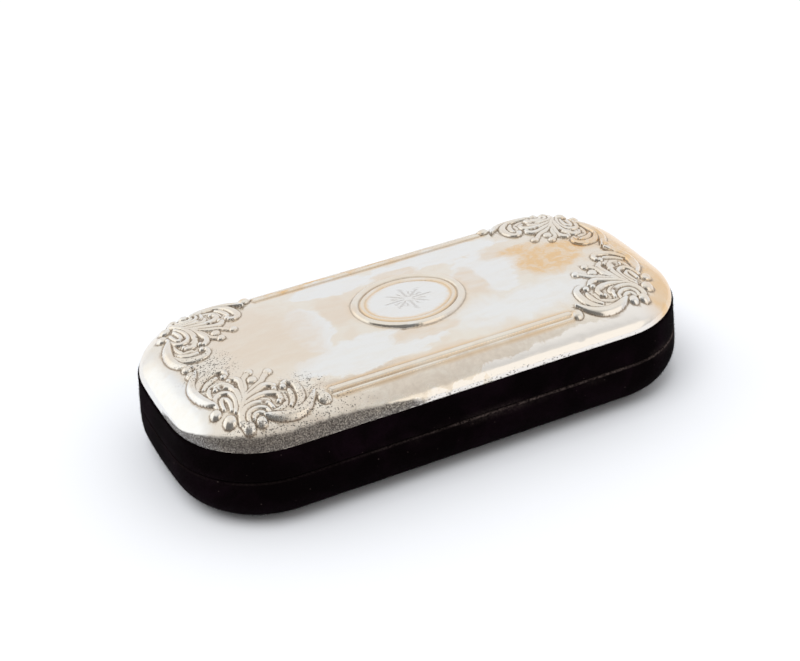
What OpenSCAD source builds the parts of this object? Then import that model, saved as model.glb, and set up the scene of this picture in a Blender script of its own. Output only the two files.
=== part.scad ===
// Hard clamshell case for spectacles, shut at rest.
// A pressed metal plate is domed over the lid, velvet covers the sides and the base,
// and a pinned hinge with a torsion spring joins the two halves along the back.
// X runs along the case, Y from front to back, Z up. The origin is under the middle of the
// plate's outline, on the surface that the case stands on. All sizes are in millimetres.

/* [Outline] */
// Length of the pressed plate, over its two ends
plate_length = 165; // [150:1:180]
// Width of the pressed plate, over its straight sides
plate_width = 77; // [72:1:84]
// Radius of the four corners, seen from above
corner_r = 29.5; // [27:0.5:31]

/* [Lid dome] */
// Height of the plate's lower edge
rim_z = 25.6; // [24:0.1:27]
// Radius of the plate's turned edge, in section
edge_r = 4.5; // [4:0.1:5]
// Distance from the outline in to the shoulder line, where the ribs run
shoulder_in = 10; // [9.5:0.1:10.5]
// Rise from the plate's lower edge to the shoulder line
shoulder_up = 7.5; // [7:0.1:7.8]
// Further rise from the shoulder line to the crown
crown_up = 2.6; // [2.2:0.1:3.2]

/* [Base and parting] */
// Height of the parting line between lid and base
parting_z = 16.1; // [14:0.1:17.5]
// Gap between lid and base when the case is shut
parting_gap = 0.3; // [0.2:0.05:0.5]
// Distance that the base's cover stands out past the plate's outline
base_out = 1.3; // [1:0.1:1.8]
// Distance that the lid's cover stands out past the plate's outline
lid_out = 0.5; // [0.3:0.1:0.8]
// Radius of the rounded foot around the base
foot_r = 10.3; // [9:0.1:11]

/* [Layers] */
// Thickness of the pressed plate
plate_t = 0.6; // [0.4:0.05:0.7]
// Thickness of the filler behind the pressed plate
backing_t = 0.6; // [0.4:0.05:0.8]
// Thickness of the pressed steel shells
shell_t = 0.6; // [0.5:0.05:0.8]
// Thickness of the velvet
velvet_t = 0.8; // [0.6:0.05:1]
// Thickness of the velvet's turned edge over the mouth
turn_t = 0.4; // [0.3:0.05:0.5]
// Thickness of the lining
lining_t = 0.8; // [0.6:0.05:1]
// Glue line between one layer and the next
glue = 0.05; // [0.03:0.01:0.08]

/* [Pads] */
// Thickness of the padded floor and ceiling
pad_t = 2.2; // [1.6:0.1:3]
// Distance from the outline in to the edge of the floor pad
floor_pad_in = 9.4; // [9:0.1:12]
// Distance from the outline in to the edge of the ceiling pad
lid_pad_in = 12; // [11:0.1:15]

/* [Ornament] */
// Length of the pair of ribs between two corner ornaments
rib_length = 78; // [60:1:84]
// Height of the corner scrolls over the plate's face
scroll_h = 0.8; // [0.5:0.1:1.1]
// Radius of the wide inner rib
rib_r = 1.2; // [0.8:0.1:1.5]
// Radius of the thin outer rib
thin_rib_r = 0.6; // [0.4:0.1:0.8]
// Distance from the wide rib out to the thin rib
rib_step = 2.2; // [2:0.1:2.6]
// Half length of the oval medallion
oval_a = 18.1; // [16:0.1:20]
// Half width of the oval medallion
oval_b = 15.3; // [13.5:0.1:16]
// Radius of the medallion's narrow ends, seen from above
oval_end_r = 13; // [12.5:0.1:13.3]
// Width of the medallion's broad rolled ring
ring_w = 2.5; // [2:0.1:3]
// Height of the broad ring above the crown
ring_h = 0.9; // [0.6:0.1:1.2]
// Width of the groove between the medallion's two rings
groove_w = 0.3; // [0.2:0.05:0.6]
// Width of the medallion's thin inner ring
thin_ring_w = 1.4; // [1:0.1:1.8]
// Height of the plain plaque above the crown
plaque_h = 0.35; // [0.2:0.05:0.5]

/* [Hinge] */
// Radius of the hinge knuckles
knuckle_r = 1.5; // [1.3:0.1:1.7]
// Radius of the hinge pin
pin_r = 0.6; // [0.4:0.05:0.7]
// Running clearance between the pin and a knuckle
pin_fit = 0.05; // [0.03:0.01:0.08]
// Distance of the pin's axis out past the base's cover
pin_out = 0.5; // [0.4:0.1:1]
// Length of each knuckle
knuckle_len = 8; // [6:0.5:10]
// Length of the bay for the spring, in the middle of the hinge
bay_len = 12; // [8:0.5:16]
// End gap between neighbouring knuckles
knuckle_gap = 0.2; // [0.1:0.05:0.4]
// Thickness of the hinge leaves
leaf_t = 0.6; // [0.4:0.05:0.7]
// Height of a hinge leaf, from the middle of the pin
leaf_h = 7.4; // [6.5:0.1:8.5]
// Thickness of the pin's riveted heads
pin_head_t = 0.5; // [0.3:0.1:0.8]
// Radius of the pin's riveted heads
pin_head_r = 0.9; // [0.8:0.05:1.1]

/* [Spring] */
// Radius of the spring's wire
wire_r = 0.3; // [0.2:0.05:0.35]
// Clearance between the spring's coil and the pin
coil_fit = 0.2; // [0.1:0.05:0.3]
// End clearance of the coil in its bay
coil_gap = 0.5; // [0.3:0.1:0.8]
// Full turns of the coil
coil_turns = 9; // [4:1:10]

/* [Rivets] */
// Radius of a leaf rivet
rivet_r = 0.8; // [0.6:0.1:1]
// Radius of a rivet's head
rivet_head_r = 1.5; // [1.2:0.1:1.8]
// Thickness of a rivet's head
rivet_head_t = 0.25; // [0.2:0.05:0.3]
// Distance from the pin's axis to the row of rivets
rivet_drop = 5.2; // [4.6:0.1:5.8]

/* [Hinge tape] */
// Thickness of the satin tape over the inside of the hinge
tape_t = 0.35; // [0.25:0.05:0.5]
// Height of the tape
tape_h = 10; // [8:0.5:12]
// Length of the tape
tape_len = 74; // [64:1:84]

/* [Hidden] */
$fn = 96;

// Centres of the outline's corners
corner_x = plate_length / 2 - corner_r;
corner_y = plate_width / 2 - corner_r;

// Lid section: turned edge, shoulder and crown are three arcs with common tangents
shoulder_z = rim_z + shoulder_up;
top_z = shoulder_z + crown_up;
half_w = plate_width / 2;
crown_a = 2 * atan(crown_up / (half_w - shoulder_in));
crown_r = (half_w - shoulder_in) / sin(crown_a);
to_shoulder = [shoulder_in - edge_r, shoulder_up];
inward = [sin(crown_a), -cos(crown_a)];
shoulder_r = (edge_r * edge_r - to_shoulder * to_shoulder) / (2 * (to_shoulder * inward + edge_r));
shoulder_c = [shoulder_in, shoulder_z] + shoulder_r * inward;
edge_a = 90 - atan2(rim_z - shoulder_c[1], shoulder_c[0] - edge_r);
edge_steps = 5;
shoulder_steps = 4;
crown_steps = 3;

// Depths of the layers in from the plate's outer face
backing_in = plate_t + glue;
shell_in = backing_in + backing_t + glue;
lining_in = shell_in + shell_t + glue;
pad_in = lining_in + lining_t + glue;

// The base's layers are counted in from its velvet's outer face
foot_in = foot_r - base_out;
base_top = parting_z - parting_gap / 2;
lid_low = parting_z + parting_gap / 2;
velvet_top = rim_z - glue;

// Hinge: positions across the back
pin_y = half_w + base_out + pin_out;
leaf_y = half_w - shell_in + glue;
side_knuckles = 3;
side_len = side_knuckles * knuckle_len;
hinge_len = bay_len + 2 * side_len;
strip_gap = 0.3;
strip_out = pin_y - knuckle_r - strip_gap;
tab_lap = 0.5;
bore_r = pin_r + pin_fit;
notch_end_gap = 0.5;
notch_low_gap = 0.4;
notch_half = hinge_len / 2 + pin_head_t + notch_end_gap;
notch_h = knuckle_r + notch_low_gap;

// Rivets: places along the hinge, and the head's outer radius as a share of its inner one
rivet_x = [-24, -9, 9, 24];
rivet_taper = 0.7;

// Overlap of two joined shapes, and the length by which a cut runs past the surface
lap = 0.01;
past = 1;

// Spring: the coil lies around the pin and each leg passes through a slot in one leaf
coil_r = pin_r + coil_fit + wire_r;
coil_half = bay_len / 2 - coil_gap;
leg_x = coil_half - wire_r;
slot_fit = 0.15;
slot_half = wire_r + slot_fit;
wire_sides = 6;
steps_per_turn = 12;
coil_total = coil_turns + 0.5;
coil_steps = coil_total * steps_per_turn;
leg_end = leaf_y + glue - pin_y;
// Each entry: place along the pin, angle around it, distance from it, shift across it
spring_path = concat([[-leg_x, -90, coil_r, leg_end]],
    [for (k = [0 : coil_steps])
        [-leg_x + 2 * leg_x * k / coil_steps, -90 + k * 360 / steps_per_turn, coil_r, 0]],
    [[leg_x, 90, coil_r, leg_end]]);
coil_space = 2 * leg_x / coil_total - 2 * wire_r;
echo(coil_space = coil_space);

// Four-arc oval for the medallion
oval_end_c = oval_a - oval_end_r;
oval_side_r = (oval_b * oval_b + oval_end_c * oval_end_c - oval_end_r * oval_end_r)
    / (2 * (oval_b - oval_end_r));
oval_side_c = oval_side_r - oval_b;
oval_turn = atan2(oval_side_c, oval_end_c);
oval_low = crown_z(half_w - oval_b, plate_t);

// Medallion's steps: the broad ring's foot and margin, and the thin ring, as shares of the ring
ring_foot = 0.6;
ring_margin = 0.2;
thin_ring_rise = 0.7;

// Sides of a corner bead
bead_sides = 12;

// Share of a rib's radius by which its axis lies under the plate's face
rib_sunk = 0.4;

// Corner scrolls. A stroke runs through points of place along, place across and half width,
// counted from the corner's centre as shares of its radius. A single point is a bead.
// Strokes on both sides of a corner, drawn for the long side
scroll_both = [
    [[-0.366, 0.722, 0.061]],
    [[-0.285, 0.637, 0.024], [-0.183, 0.742, 0.041], [-0.088, 0.78, 0.044],
        [0.014, 0.79, 0.044], [0.122, 0.766, 0.041], [0.217, 0.722, 0.027]],
    [[-0.092, 0.719, 0.024], [-0.163, 0.617, 0.037], [-0.19, 0.515, 0.039],
        [-0.176, 0.427, 0.037], [-0.125, 0.383, 0.031], [-0.078, 0.417, 0.027]],
    [[0.353, 0.471, 0.027], [0.197, 0.441, 0.029], [0.088, 0.475, 0.031], [0.034, 0.553, 0.031]],
    [[0.325, 0.414, 0.027], [0.169, 0.359, 0.029], [0.075, 0.349, 0.031], [0.031, 0.407, 0.031]]
];
// Strokes of the long side only
scroll_side = [
    [[0.298, 0.759, 0.051]],
    [[0.427, 0.753, 0.054]],
    [[0.146, 0.624, 0.024], [0.21, 0.525, 0.027], [0.298, 0.505, 0.029],
        [0.386, 0.539, 0.031], [0.444, 0.631, 0.031]],
    [[0.2, 0.658, 0.024], [0.244, 0.597, 0.024], [0.315, 0.586, 0.024], [0.38, 0.637, 0.024]],
    [[0.258, 0.325, 0.024], [0.115, 0.278, 0.025], [0.031, 0.21, 0.025], [-0.027, 0.142, 0.032]]
];
// Strokes of the short end, and between the two sides
scroll_end = [
    [[0.563, 0.603, 0.058]],
    [[0.641, 0.451, 0.051]],
    [[0.447, 0.468, 0.024], [0.417, 0.353, 0.024], [0.437, 0.244, 0.024],
        [0.508, 0.21, 0.024], [0.573, 0.264, 0.024]],
    [[0.505, 0.461, 0.024], [0.502, 0.305, 0.027]],
    [[0.278, 0.312, 0.024], [0.241, 0.203, 0.025], [0.214, 0.108, 0.025], [0.146, 0.047, 0.032]],
    [[0.146, 0.183, 0.047]],
    [[0.454, 0.597, 0.027], [0.353, 0.461, 0.027], [0.244, 0.305, 0.024]]
];
// How far the short end's copies lie from a plain swap, at the centre and as a share further out
scroll_shift = 0.014;
scroll_spread = 0.1;
scroll_low = rim_z + plate_t;

// Height of the lid's section at a distance in from the outline, at a depth below the plate's face
function crown_z(d, t) = top_z - crown_r + sqrt(pow(crown_r - t, 2) - pow(half_w - d, 2));
function shoulder_curve_z(d, t) =
    shoulder_c[1] + sqrt(pow(shoulder_r - t, 2) - pow(shoulder_c[0] - d, 2));
function spot(r, a) = [r * cos(a), r * sin(a)];
function backwards(points) = [for (k = [len(points) - 1 : -1 : 0]) points[k]];

// A stroke turned over for the short end, and its outline with one side's points after the other's
function swapped(stroke) = [for (p = stroke)
    let (k = scroll_shift + scroll_spread * (p[0] + p[1])) [p[1] - k, p[0] + k, p[2]]];
function beside(stroke, k, way) =
    let (a = stroke[max(k - 1, 0)], b = stroke[min(k + 1, len(stroke) - 1)],
        w = way * stroke[k][2] / norm([b[0] - a[0], b[1] - a[1]]))
    [stroke[k][0] + w * (b[1] - a[1]), stroke[k][1] - w * (b[0] - a[0])];
function stroke_line(stroke) = concat(
    [for (k = [0 : len(stroke) - 1]) beside(stroke, k, 1)],
    [for (k = [len(stroke) - 1 : -1 : 0]) beside(stroke, k, -1)]);

// Line of the dome's section at a depth below the plate's face, in three arcs
function arc_line(centre, r, from_a, to_a, steps) =
    [for (k = [0 : steps - 1]) centre + spot(r, from_a + (to_a - from_a) * k / steps)];
function crown_line(t, from_in) =
    [for (k = [0 : crown_steps])
        let (d = from_in + (corner_r - from_in) * k / crown_steps) [d, crown_z(d, t)]];
function dome_line(t) = concat(
    arc_line([edge_r, rim_z], edge_r - t, 180, 90 + edge_a, edge_steps),
    arc_line(shoulder_c, shoulder_r - t, 90 + edge_a, 90 + crown_a, shoulder_steps),
    crown_line(t, half_w - (crown_r - t) * sin(crown_a)));

// Section of one domed layer of the lid, from depth t0 to depth t1, down to height low_z
module lid_section(t0, t1, low_z) {
    polygon(concat([[t0, low_z]], dome_line(t0), backwards(dome_line(t1)), [[t1, low_z]]));
}

// The crown's part of that section, from a distance in from the outline to the corner's centre
module crown_section(t0, t1, from_in) {
    polygon(concat(crown_line(t0, from_in), backwards(crown_line(t1, from_in))));
}

// Section of one layer of the base, from depth t0 to depth t1, up to height high_z
module base_section(t0, t1, high_z) {
    translate([foot_in, foot_r])
        intersection() {
            difference() {
                circle(foot_r - t0);
                circle(foot_r - t1);
            }
            translate([-2 * foot_r, -2 * foot_r])
                square(2 * foot_r);
        }
    translate([t0 - base_out, foot_r])
        square([t1 - t0, high_z - foot_r]);
    translate([foot_in, t0])
        square([corner_r - foot_in, t1 - t0]);
}

// Carries a section around the outline: x is the distance in from the outline, y the height
module around() {
    for (quarter = [0 : 3]) {
        sx = quarter == 0 || quarter == 3 ? 1 : -1;
        sy = quarter < 2 ? 1 : -1;
        run = quarter % 2 == 0 ? corner_y : corner_x;
        translate([sx * corner_x, sy * corner_y, 0])
            rotate([0, 0, 90 * quarter]) {
                rotate_extrude(angle = 90)
                    translate([corner_r, 0])
                        mirror([1, 0])
                            children();
                rotate([90, 0, 0])
                    linear_extrude(2 * run)
                        translate([corner_r, 0])
                            mirror([1, 0])
                                children();
            }
    }
}

// Closes the middle of a layer, inside the corners' centres
module middle(low_z, high_z) {
    translate([-corner_x, -corner_y, low_z])
        cube([2 * corner_x, 2 * corner_y, high_z - low_z]);
}

module lid_layer(t0, t1, low_z) {
    around()
        lid_section(t0, t1, low_z);
    middle(crown_z(corner_r, t1), crown_z(corner_r, t0));
}

// Solid dome under a depth below the plate's face, down to height low_z
module lid_core(t, low_z) {
    around()
        polygon(concat([[t, low_z]], dome_line(t), [[corner_r, low_z]]));
    middle(low_z, crown_z(corner_r, t));
}

module base_layer(t0, t1, high_z) {
    around()
        base_section(t0, t1, high_z);
    middle(t0, t1);
}

// Room for the hinge: up (1) or down (-1) from the parting line, behind the shells
module hinge_notch(way) {
    translate([-notch_half, leaf_y, parting_z + (way > 0 ? -parting_gap : -notch_h)])
        cube([2 * notch_half, pin_y - leaf_y, notch_h + parting_gap]);
}

// Pocket for a leaf and its rivet heads in the wadding
module leaf_pocket(way) {
    low = way > 0 ? parting_z : parting_z - leaf_h - glue;
    translate([-hinge_len / 2 - glue, leaf_y - glue, low])
        cube([hinge_len + 2 * glue, leaf_t + rivet_head_t + 3 * glue, leaf_h + glue]);
}

module rivet_holes(way) {
    for (x = rivet_x)
        translate([x, half_w - lining_in, parting_z + way * rivet_drop])
            rotate([-90, 0, 0])
                cylinder(r = rivet_r + glue, h = shell_t + leaf_t + past);
}

module rivets(way) {
    shank = leaf_y + leaf_t + glue - (half_w - shell_in - shell_t);
    for (x = rivet_x)
        translate([x, half_w - shell_in - shell_t, parting_z + way * rivet_drop])
            rotate([-90, 0, 0]) {
                cylinder(r = rivet_r, h = shank);
                translate([0, 0, shank - lap])
                    cylinder(r1 = rivet_head_r, r2 = rivet_head_r * rivet_taper, h = rivet_head_t - glue);
            }
}

// One knuckle from x0 to x1 with its tab to the leaf's strip
module knuckle(x0, x1, way) {
    translate([x0, pin_y, parting_z])
        rotate([0, 90, 0])
            cylinder(r = knuckle_r, h = x1 - x0);
    tab_z = way > 0 ? parting_z + knuckle_r - leaf_t : parting_z - knuckle_r;
    translate([x0, strip_out - tab_lap, tab_z])
        cube([x1 - x0, pin_y - strip_out + tab_lap, leaf_t]);
}

// Leaf with its strip, slot and holes; spans lists the knuckles from the bay outwards
module hinge_leaf(way, spans) {
    strip_z = way > 0 ? parting_z + knuckle_r - leaf_t : parting_z - knuckle_r;
    plate_low = way > 0 ? strip_z : parting_z - leaf_h;
    plate_h = leaf_h - knuckle_r + leaf_t;
    bay_low = way > 0 ? parting_z + parting_gap / 2 : strip_z;
    difference() {
        union() {
            translate([-hinge_len / 2, leaf_y, plate_low])
                cube([hinge_len, leaf_t, plate_h]);
            translate([-bay_len / 2, leaf_y, bay_low])
                cube([bay_len, leaf_t, knuckle_r - parting_gap / 2]);
            for (side = [0, 1])
                mirror([side, 0, 0]) {
                    translate([bay_len / 2, leaf_y, strip_z])
                        cube([side_len, strip_out - leaf_y, leaf_t]);
                    for (k = spans)
                        knuckle(bay_len / 2 + k * knuckle_len + knuckle_gap / 2,
                            bay_len / 2 + (k + 1) * knuckle_len - knuckle_gap / 2, way);
                }
        }
        translate([-hinge_len, pin_y, parting_z])
            rotate([0, 90, 0])
                cylinder(r = bore_r, h = 2 * hinge_len);
        translate([way * leg_x - slot_half, leaf_y - past, parting_z + way * coil_r - slot_half])
            cube([2 * slot_half, leaf_t + 2 * past, 2 * slot_half]);
        rivet_holes(way);
    }
}

// Quarter of the four-arc oval's points, a distance in from its edge
function oval_quarter(inset) = concat(
    [for (k = [0 : 5]) [oval_end_c, 0] + spot(oval_end_r - inset, k * oval_turn / 5)],
    [for (k = [1 : 6])
        [0, -oval_side_c] + spot(oval_side_r - inset, oval_turn + k * (90 - oval_turn) / 6)]);

function turned(points, sx, sy) = [for (p = points) [sx * p[0], sy * p[1]]];

// Oval, a distance in from its edge, with each quarter's end points used once
module oval(inset) {
    q = oval_quarter(inset);
    inner = [for (k = [1 : len(q) - 2]) q[k]];
    polygon(concat(q, turned(backwards(inner), -1, 1), [[-q[0][0], 0]],
        turned(inner, -1, -1), [[0, -q[len(q) - 1][1]]], turned(backwards(inner), 1, -1)));
}

// One step of the medallion between two distances in from its edge
module oval_step(from_in, to_in, high_z) {
    translate([0, 0, oval_low])
        linear_extrude(high_z - oval_low)
            difference() {
                oval(from_in);
                oval(to_in);
            }
}

module medallion() {
    margin = ring_w * ring_margin;
    thin_in = ring_w + groove_w;
    oval_step(0, ring_w, top_z + ring_h * ring_foot);
    oval_step(margin, ring_w - margin, top_z + ring_h);
    oval_step(thin_in, thin_in + thin_ring_w, top_z + ring_h * thin_ring_rise);
    translate([0, 0, oval_low])
        linear_extrude(top_z + plaque_h - oval_low)
            oval(thin_in + thin_ring_w / 2);
}

// One stroke as an upright prism, at the corner with the given signs of x and y
module stroke(points, sx, sy) {
    translate([sx * corner_x, sy * corner_y, scroll_low]) {
        if (len(points) == 1)
            translate([sx * corner_r * points[0][0], sy * corner_r * points[0][1], 0])
                cylinder(r = corner_r * points[0][2], h = top_z - scroll_low, $fn = bead_sides);
        else
            linear_extrude(top_z - scroll_low)
                polygon(corner_r * turned(sx * sy > 0 ? stroke_line(points)
                    : backwards(stroke_line(points)), sx, sy));
    }
}

// Corner ornament: the strokes as far up as a dome that lies over the plate's face
module scrolls() {
    intersection() {
        lid_core(-scroll_h, rim_z);
        union()
            for (sx = [-1, 1])
                for (sy = [-1, 1]) {
                    for (points = scroll_both) {
                        stroke(points, sx, sy);
                        stroke(swapped(points), sx, sy);
                    }
                    for (points = concat(scroll_side, scroll_end))
                        stroke(points, sx, sy);
                }
    }
}

// A round-ended rib laid along the lid at a distance in from the outline
module rib(d, r) {
    z = shoulder_curve_z(d, 0) - r * rib_sunk;
    for (sy = [-1, 1])
        translate([0, sy * (half_w - d), z]) {
            rotate([0, 90, 0])
                cylinder(r = r, h = rib_length, center = true);
            for (sx = [-1, 1])
                translate([sx * rib_length / 2, 0, 0])
                    sphere(r = r);
        }
}

module base_shell() {
    color("lightslategray")
        difference() {
            base_layer(shell_in + base_out, shell_in + shell_t + base_out, base_top - turn_t - glue);
            rivet_holes(-1);
        }
}

module base_wadding() {
    color("gainsboro")
        difference() {
            base_layer(velvet_t + glue, shell_in + base_out - glue, base_top - turn_t - glue);
            hinge_notch(-1);
            leaf_pocket(-1);
        }
}

module base_velvet() {
    turn_in = velvet_t - base_out;
    color([0.1, 0.06, 0.1])
        difference() {
            union() {
                base_layer(0, velvet_t, base_top - velvet_t);
                around() {
                    translate([turn_in, base_top - velvet_t])
                        intersection() {
                            circle(velvet_t);
                            translate([-velvet_t, 0])
                                square(velvet_t);
                        }
                    translate([turn_in, base_top - turn_t])
                        square([shell_in + shell_t - turn_in, turn_t]);
                }
            }
            hinge_notch(-1);
        }
}

module base_lining() {
    color("ivory")
        base_layer(lining_in + base_out, lining_in + lining_t + base_out, base_top);
}

module base_pad() {
    low = pad_in + base_out;
    color("antiquewhite") {
        around() {
            translate([floor_pad_in + pad_t / 2, low])
                square([corner_r - floor_pad_in - pad_t / 2, pad_t]);
            translate([floor_pad_in + pad_t / 2, low + pad_t / 2])
                circle(pad_t / 2);
        }
        middle(low, low + pad_t);
    }
}

module base_hinge_leaf() {
    color("silver")
        hinge_leaf(-1, [0, 2]);
}

module base_rivets() {
    color("gray")
        rivets(-1);
}

module hinge_pin() {
    color("dimgray")
        translate([0, pin_y, parting_z])
            rotate([0, 90, 0]) {
                cylinder(r = pin_r, h = hinge_len, center = true);
                for (side = [0, 1])
                    mirror([0, 0, side])
                        translate([0, 0, hinge_len / 2])
                            cylinder(r = pin_head_r, h = pin_head_t);
            }
}

// One unbroken wire: the base's leg, the coil around the pin, the lid's leg
module hinge_spring() {
    rings = len(spring_path);
    points = [for (p = spring_path, s = [0 : wire_sides - 1])
        let (w = spot(wire_r, s * 360 / wire_sides))
        [p[0] + w[1], (p[2] + w[0]) * cos(p[1]) + p[3], (p[2] + w[0]) * sin(p[1])]];
    sides = [for (k = [0 : rings - 2], s = [0 : wire_sides - 1])
        let (a = k * wire_sides + s, b = k * wire_sides + (s + 1) % wire_sides)
        each [[a, b, a + wire_sides], [b, b + wire_sides, a + wire_sides]]];
    first = [for (s = [1 : wire_sides - 2]) [0, s + 1, s]];
    end = (rings - 1) * wire_sides;
    last = [for (s = [1 : wire_sides - 2]) [end, end + s, end + s + 1]];
    color("darkgray")
        translate([0, pin_y, parting_z])
            polyhedron(points = points, faces = concat(first, sides, last));
}

module hinge_tape() {
    color("ivory")
        translate([-tape_len / 2, half_w - pad_in - tape_t, parting_z - tape_h / 2])
            cube([tape_len, tape_t, tape_h]);
}

module lid_shell() {
    color("lightslategray")
        difference() {
            lid_layer(shell_in, shell_in + shell_t, lid_low + turn_t + glue);
            rivet_holes(1);
        }
}

module lid_wadding() {
    low = lid_low + turn_t + glue;
    start = velvet_t - lid_out + glue;
    color("gainsboro")
        difference() {
            around()
                translate([start, low])
                    square([shell_in - glue - start, velvet_top - low]);
            hinge_notch(1);
            leaf_pocket(1);
        }
}

module lid_velvet() {
    turn_in = velvet_t - lid_out;
    color([0.1, 0.06, 0.1])
        difference() {
            around() {
                translate([-lid_out, lid_low + velvet_t])
                    square([velvet_t, velvet_top - lid_low - velvet_t]);
                translate([turn_in, lid_low + velvet_t])
                    intersection() {
                        circle(velvet_t);
                        translate([-velvet_t, -velvet_t])
                            square(velvet_t);
                    }
                translate([turn_in, lid_low])
                    square([shell_in + shell_t - turn_in, turn_t]);
            }
            hinge_notch(1);
        }
}

module lid_lining() {
    color("ivory")
        lid_layer(lining_in, lining_in + lining_t, lid_low);
}

module lid_pad() {
    color("antiquewhite") {
        around()
            crown_section(pad_in, pad_in + pad_t, lid_pad_in);
        middle(crown_z(corner_r, pad_in + pad_t), crown_z(corner_r, pad_in));
    }
}

module plate_backing() {
    color("tan")
        lid_layer(backing_in, backing_in + backing_t, rim_z - glue);
}

module silver_plate() {
    color([0.82, 0.78, 0.68])
        difference() {
            union() {
                lid_core(0, rim_z - glue / 2);
                medallion();
                rib(shoulder_in - lap, rib_r);
                rib(shoulder_in - rib_step, thin_rib_r);
                scrolls();
            }
            lid_core(plate_t, rim_z - past);
        }
}

module lid_hinge_leaf() {
    color("silver")
        hinge_leaf(1, [1]);
}

module lid_rivets() {
    color("gray")
        rivets(1);
}

base_shell();
base_wadding();
base_velvet();
base_lining();
base_pad();
base_hinge_leaf();
base_rivets();
hinge_pin();
hinge_spring();
hinge_tape();
lid_shell();
lid_wadding();
lid_velvet();
lid_lining();
lid_pad();
plate_backing();
silver_plate();
lid_hinge_leaf();
lid_rivets();
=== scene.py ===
"""Looks of a hard spectacle case: pressed silver plate, velvet covers, satin inside, sprung hinge.

Sizes are written in millimetres and turned to metres where a mesh is made.
X runs along the case, Y from front to back and Z up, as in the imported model.
"""

import logging
import math
from collections.abc import Callable, Sequence
from dataclasses import dataclass, field
from enum import Enum, IntEnum
from functools import cached_property

import bmesh
import bpy
import numpy as np
from mathutils import Matrix, Vector


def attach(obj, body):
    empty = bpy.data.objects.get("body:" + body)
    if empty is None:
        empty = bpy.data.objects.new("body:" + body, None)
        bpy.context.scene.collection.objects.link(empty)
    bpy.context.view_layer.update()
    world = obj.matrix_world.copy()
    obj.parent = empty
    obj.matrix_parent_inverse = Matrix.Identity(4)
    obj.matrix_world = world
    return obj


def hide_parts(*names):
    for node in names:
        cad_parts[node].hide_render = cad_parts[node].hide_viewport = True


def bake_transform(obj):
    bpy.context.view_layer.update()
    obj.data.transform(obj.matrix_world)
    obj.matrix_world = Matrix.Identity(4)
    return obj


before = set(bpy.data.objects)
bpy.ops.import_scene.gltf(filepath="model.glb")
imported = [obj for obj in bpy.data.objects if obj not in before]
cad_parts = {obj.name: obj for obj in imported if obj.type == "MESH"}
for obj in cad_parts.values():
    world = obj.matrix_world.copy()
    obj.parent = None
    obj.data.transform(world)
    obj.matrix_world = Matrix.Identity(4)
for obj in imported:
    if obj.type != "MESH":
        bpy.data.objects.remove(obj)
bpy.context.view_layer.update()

MM = 0.001
MEETING = 0.004 * MM
QUARTER = math.pi / 2
Array = np.ndarray
BMesh = bmesh.types.BMesh
Colour = tuple[float, float, float]
Object = bpy.types.Object
Socket = bpy.types.NodeSocket
Strokes = tuple[tuple[float, ...], ...]
log = logging.getLogger("spectacle_case")


class Body(Enum):
    """The two halves of the case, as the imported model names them."""

    BASE = "base"
    LID = "lid"


class Slot(Enum):
    """The record's material slots."""

    SILVER = "silver"
    VELVET = "velvet"
    STEEL = "steel"
    HINGE_STEEL = "hinge_steel"
    SPRING_STEEL = "spring_steel"
    SATIN = "satin"
    PAD_SATIN = "pad_satin"
    WADDING = "wadding"
    FILLER = "filler"


class Ground(IntEnum):
    """What the plate's relief shows at a place. Later ones win where two meet."""

    PLAIN = 0
    SCROLL = 1
    RING = 2
    RIB = 3
    CUT = 4


# Shapes


def smoothstep(value: Array, low: float, high: float) -> Array:
    """Smooth share from 0 at low to 1 at high."""
    t = np.clip((value - low) / (high - low), 0, 1)
    return t * t * (3 - 2 * t)


def bell(value: Array, middle: float, width: float) -> Array:
    """Share from 1 at the middle to nought some widths away."""
    return np.exp(-(((value - middle) / width) ** 2))


def ripple(place: Array, wavelength: float, seed: int, waves: int = 7) -> Array:
    """Smooth unevenness from a few crossing waves.

    Args:
        place: Points in millimetres, one row each.
        wavelength: Typical length of a wave, in millimetres.
        seed: Seed for the directions and phases.
        waves: Number of crossing waves.

    Returns:
        One number from -1 to 1 for each point.
    """
    draw = np.random.default_rng(seed)
    total = np.zeros(len(place))
    for _ in range(waves):
        way = draw.normal(size=place.shape[1])
        way *= 2 * math.pi / (wavelength * draw.uniform(0.6, 1.6) * np.linalg.norm(way))
        total += np.sin(place @ way + draw.uniform(0, 2 * math.pi))
    return total / waves


def wander(place: Array, wavelength: float, seed: int) -> Array:
    """Ripple along each axis, with seeds that follow one another."""
    return np.column_stack([ripple(place, wavelength, seed + k) for k in range(3)])


def eased(points: Array, steps: int = 5) -> Array:
    """Rounds a drawn line through its points.

    Args:
        points: Points with any number of values each.
        steps: Pieces between two points.

    Returns:
        The rounded line, one row for each point.
    """
    p = np.vstack([2 * points[0] - points[1], points, 2 * points[-1] - points[-2]])
    line = []
    for k in range(1, len(p) - 2):
        a, b, c, d = p[k - 1 : k + 3]
        for t in np.arange(steps) / steps:
            bend = 2 * a - 5 * b + 4 * c - d + t * (3 * b - a - 3 * c + d)
            line.append(b + 0.5 * t * (c - a + t * bend))
    return np.array([*line, p[-2]])


@dataclass(frozen=True)
class Ring:
    """A closed outline of columns that every layer of the case follows."""

    point: Array
    normal: Array

    def row(self, inset: float, z: float) -> Array:
        """Loop of x, y and z at a distance in from the outline."""
        flat = self.point - self.normal * np.reshape(inset, (-1, 1))
        return np.column_stack([flat, np.broadcast_to(z, len(flat))])


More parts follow.
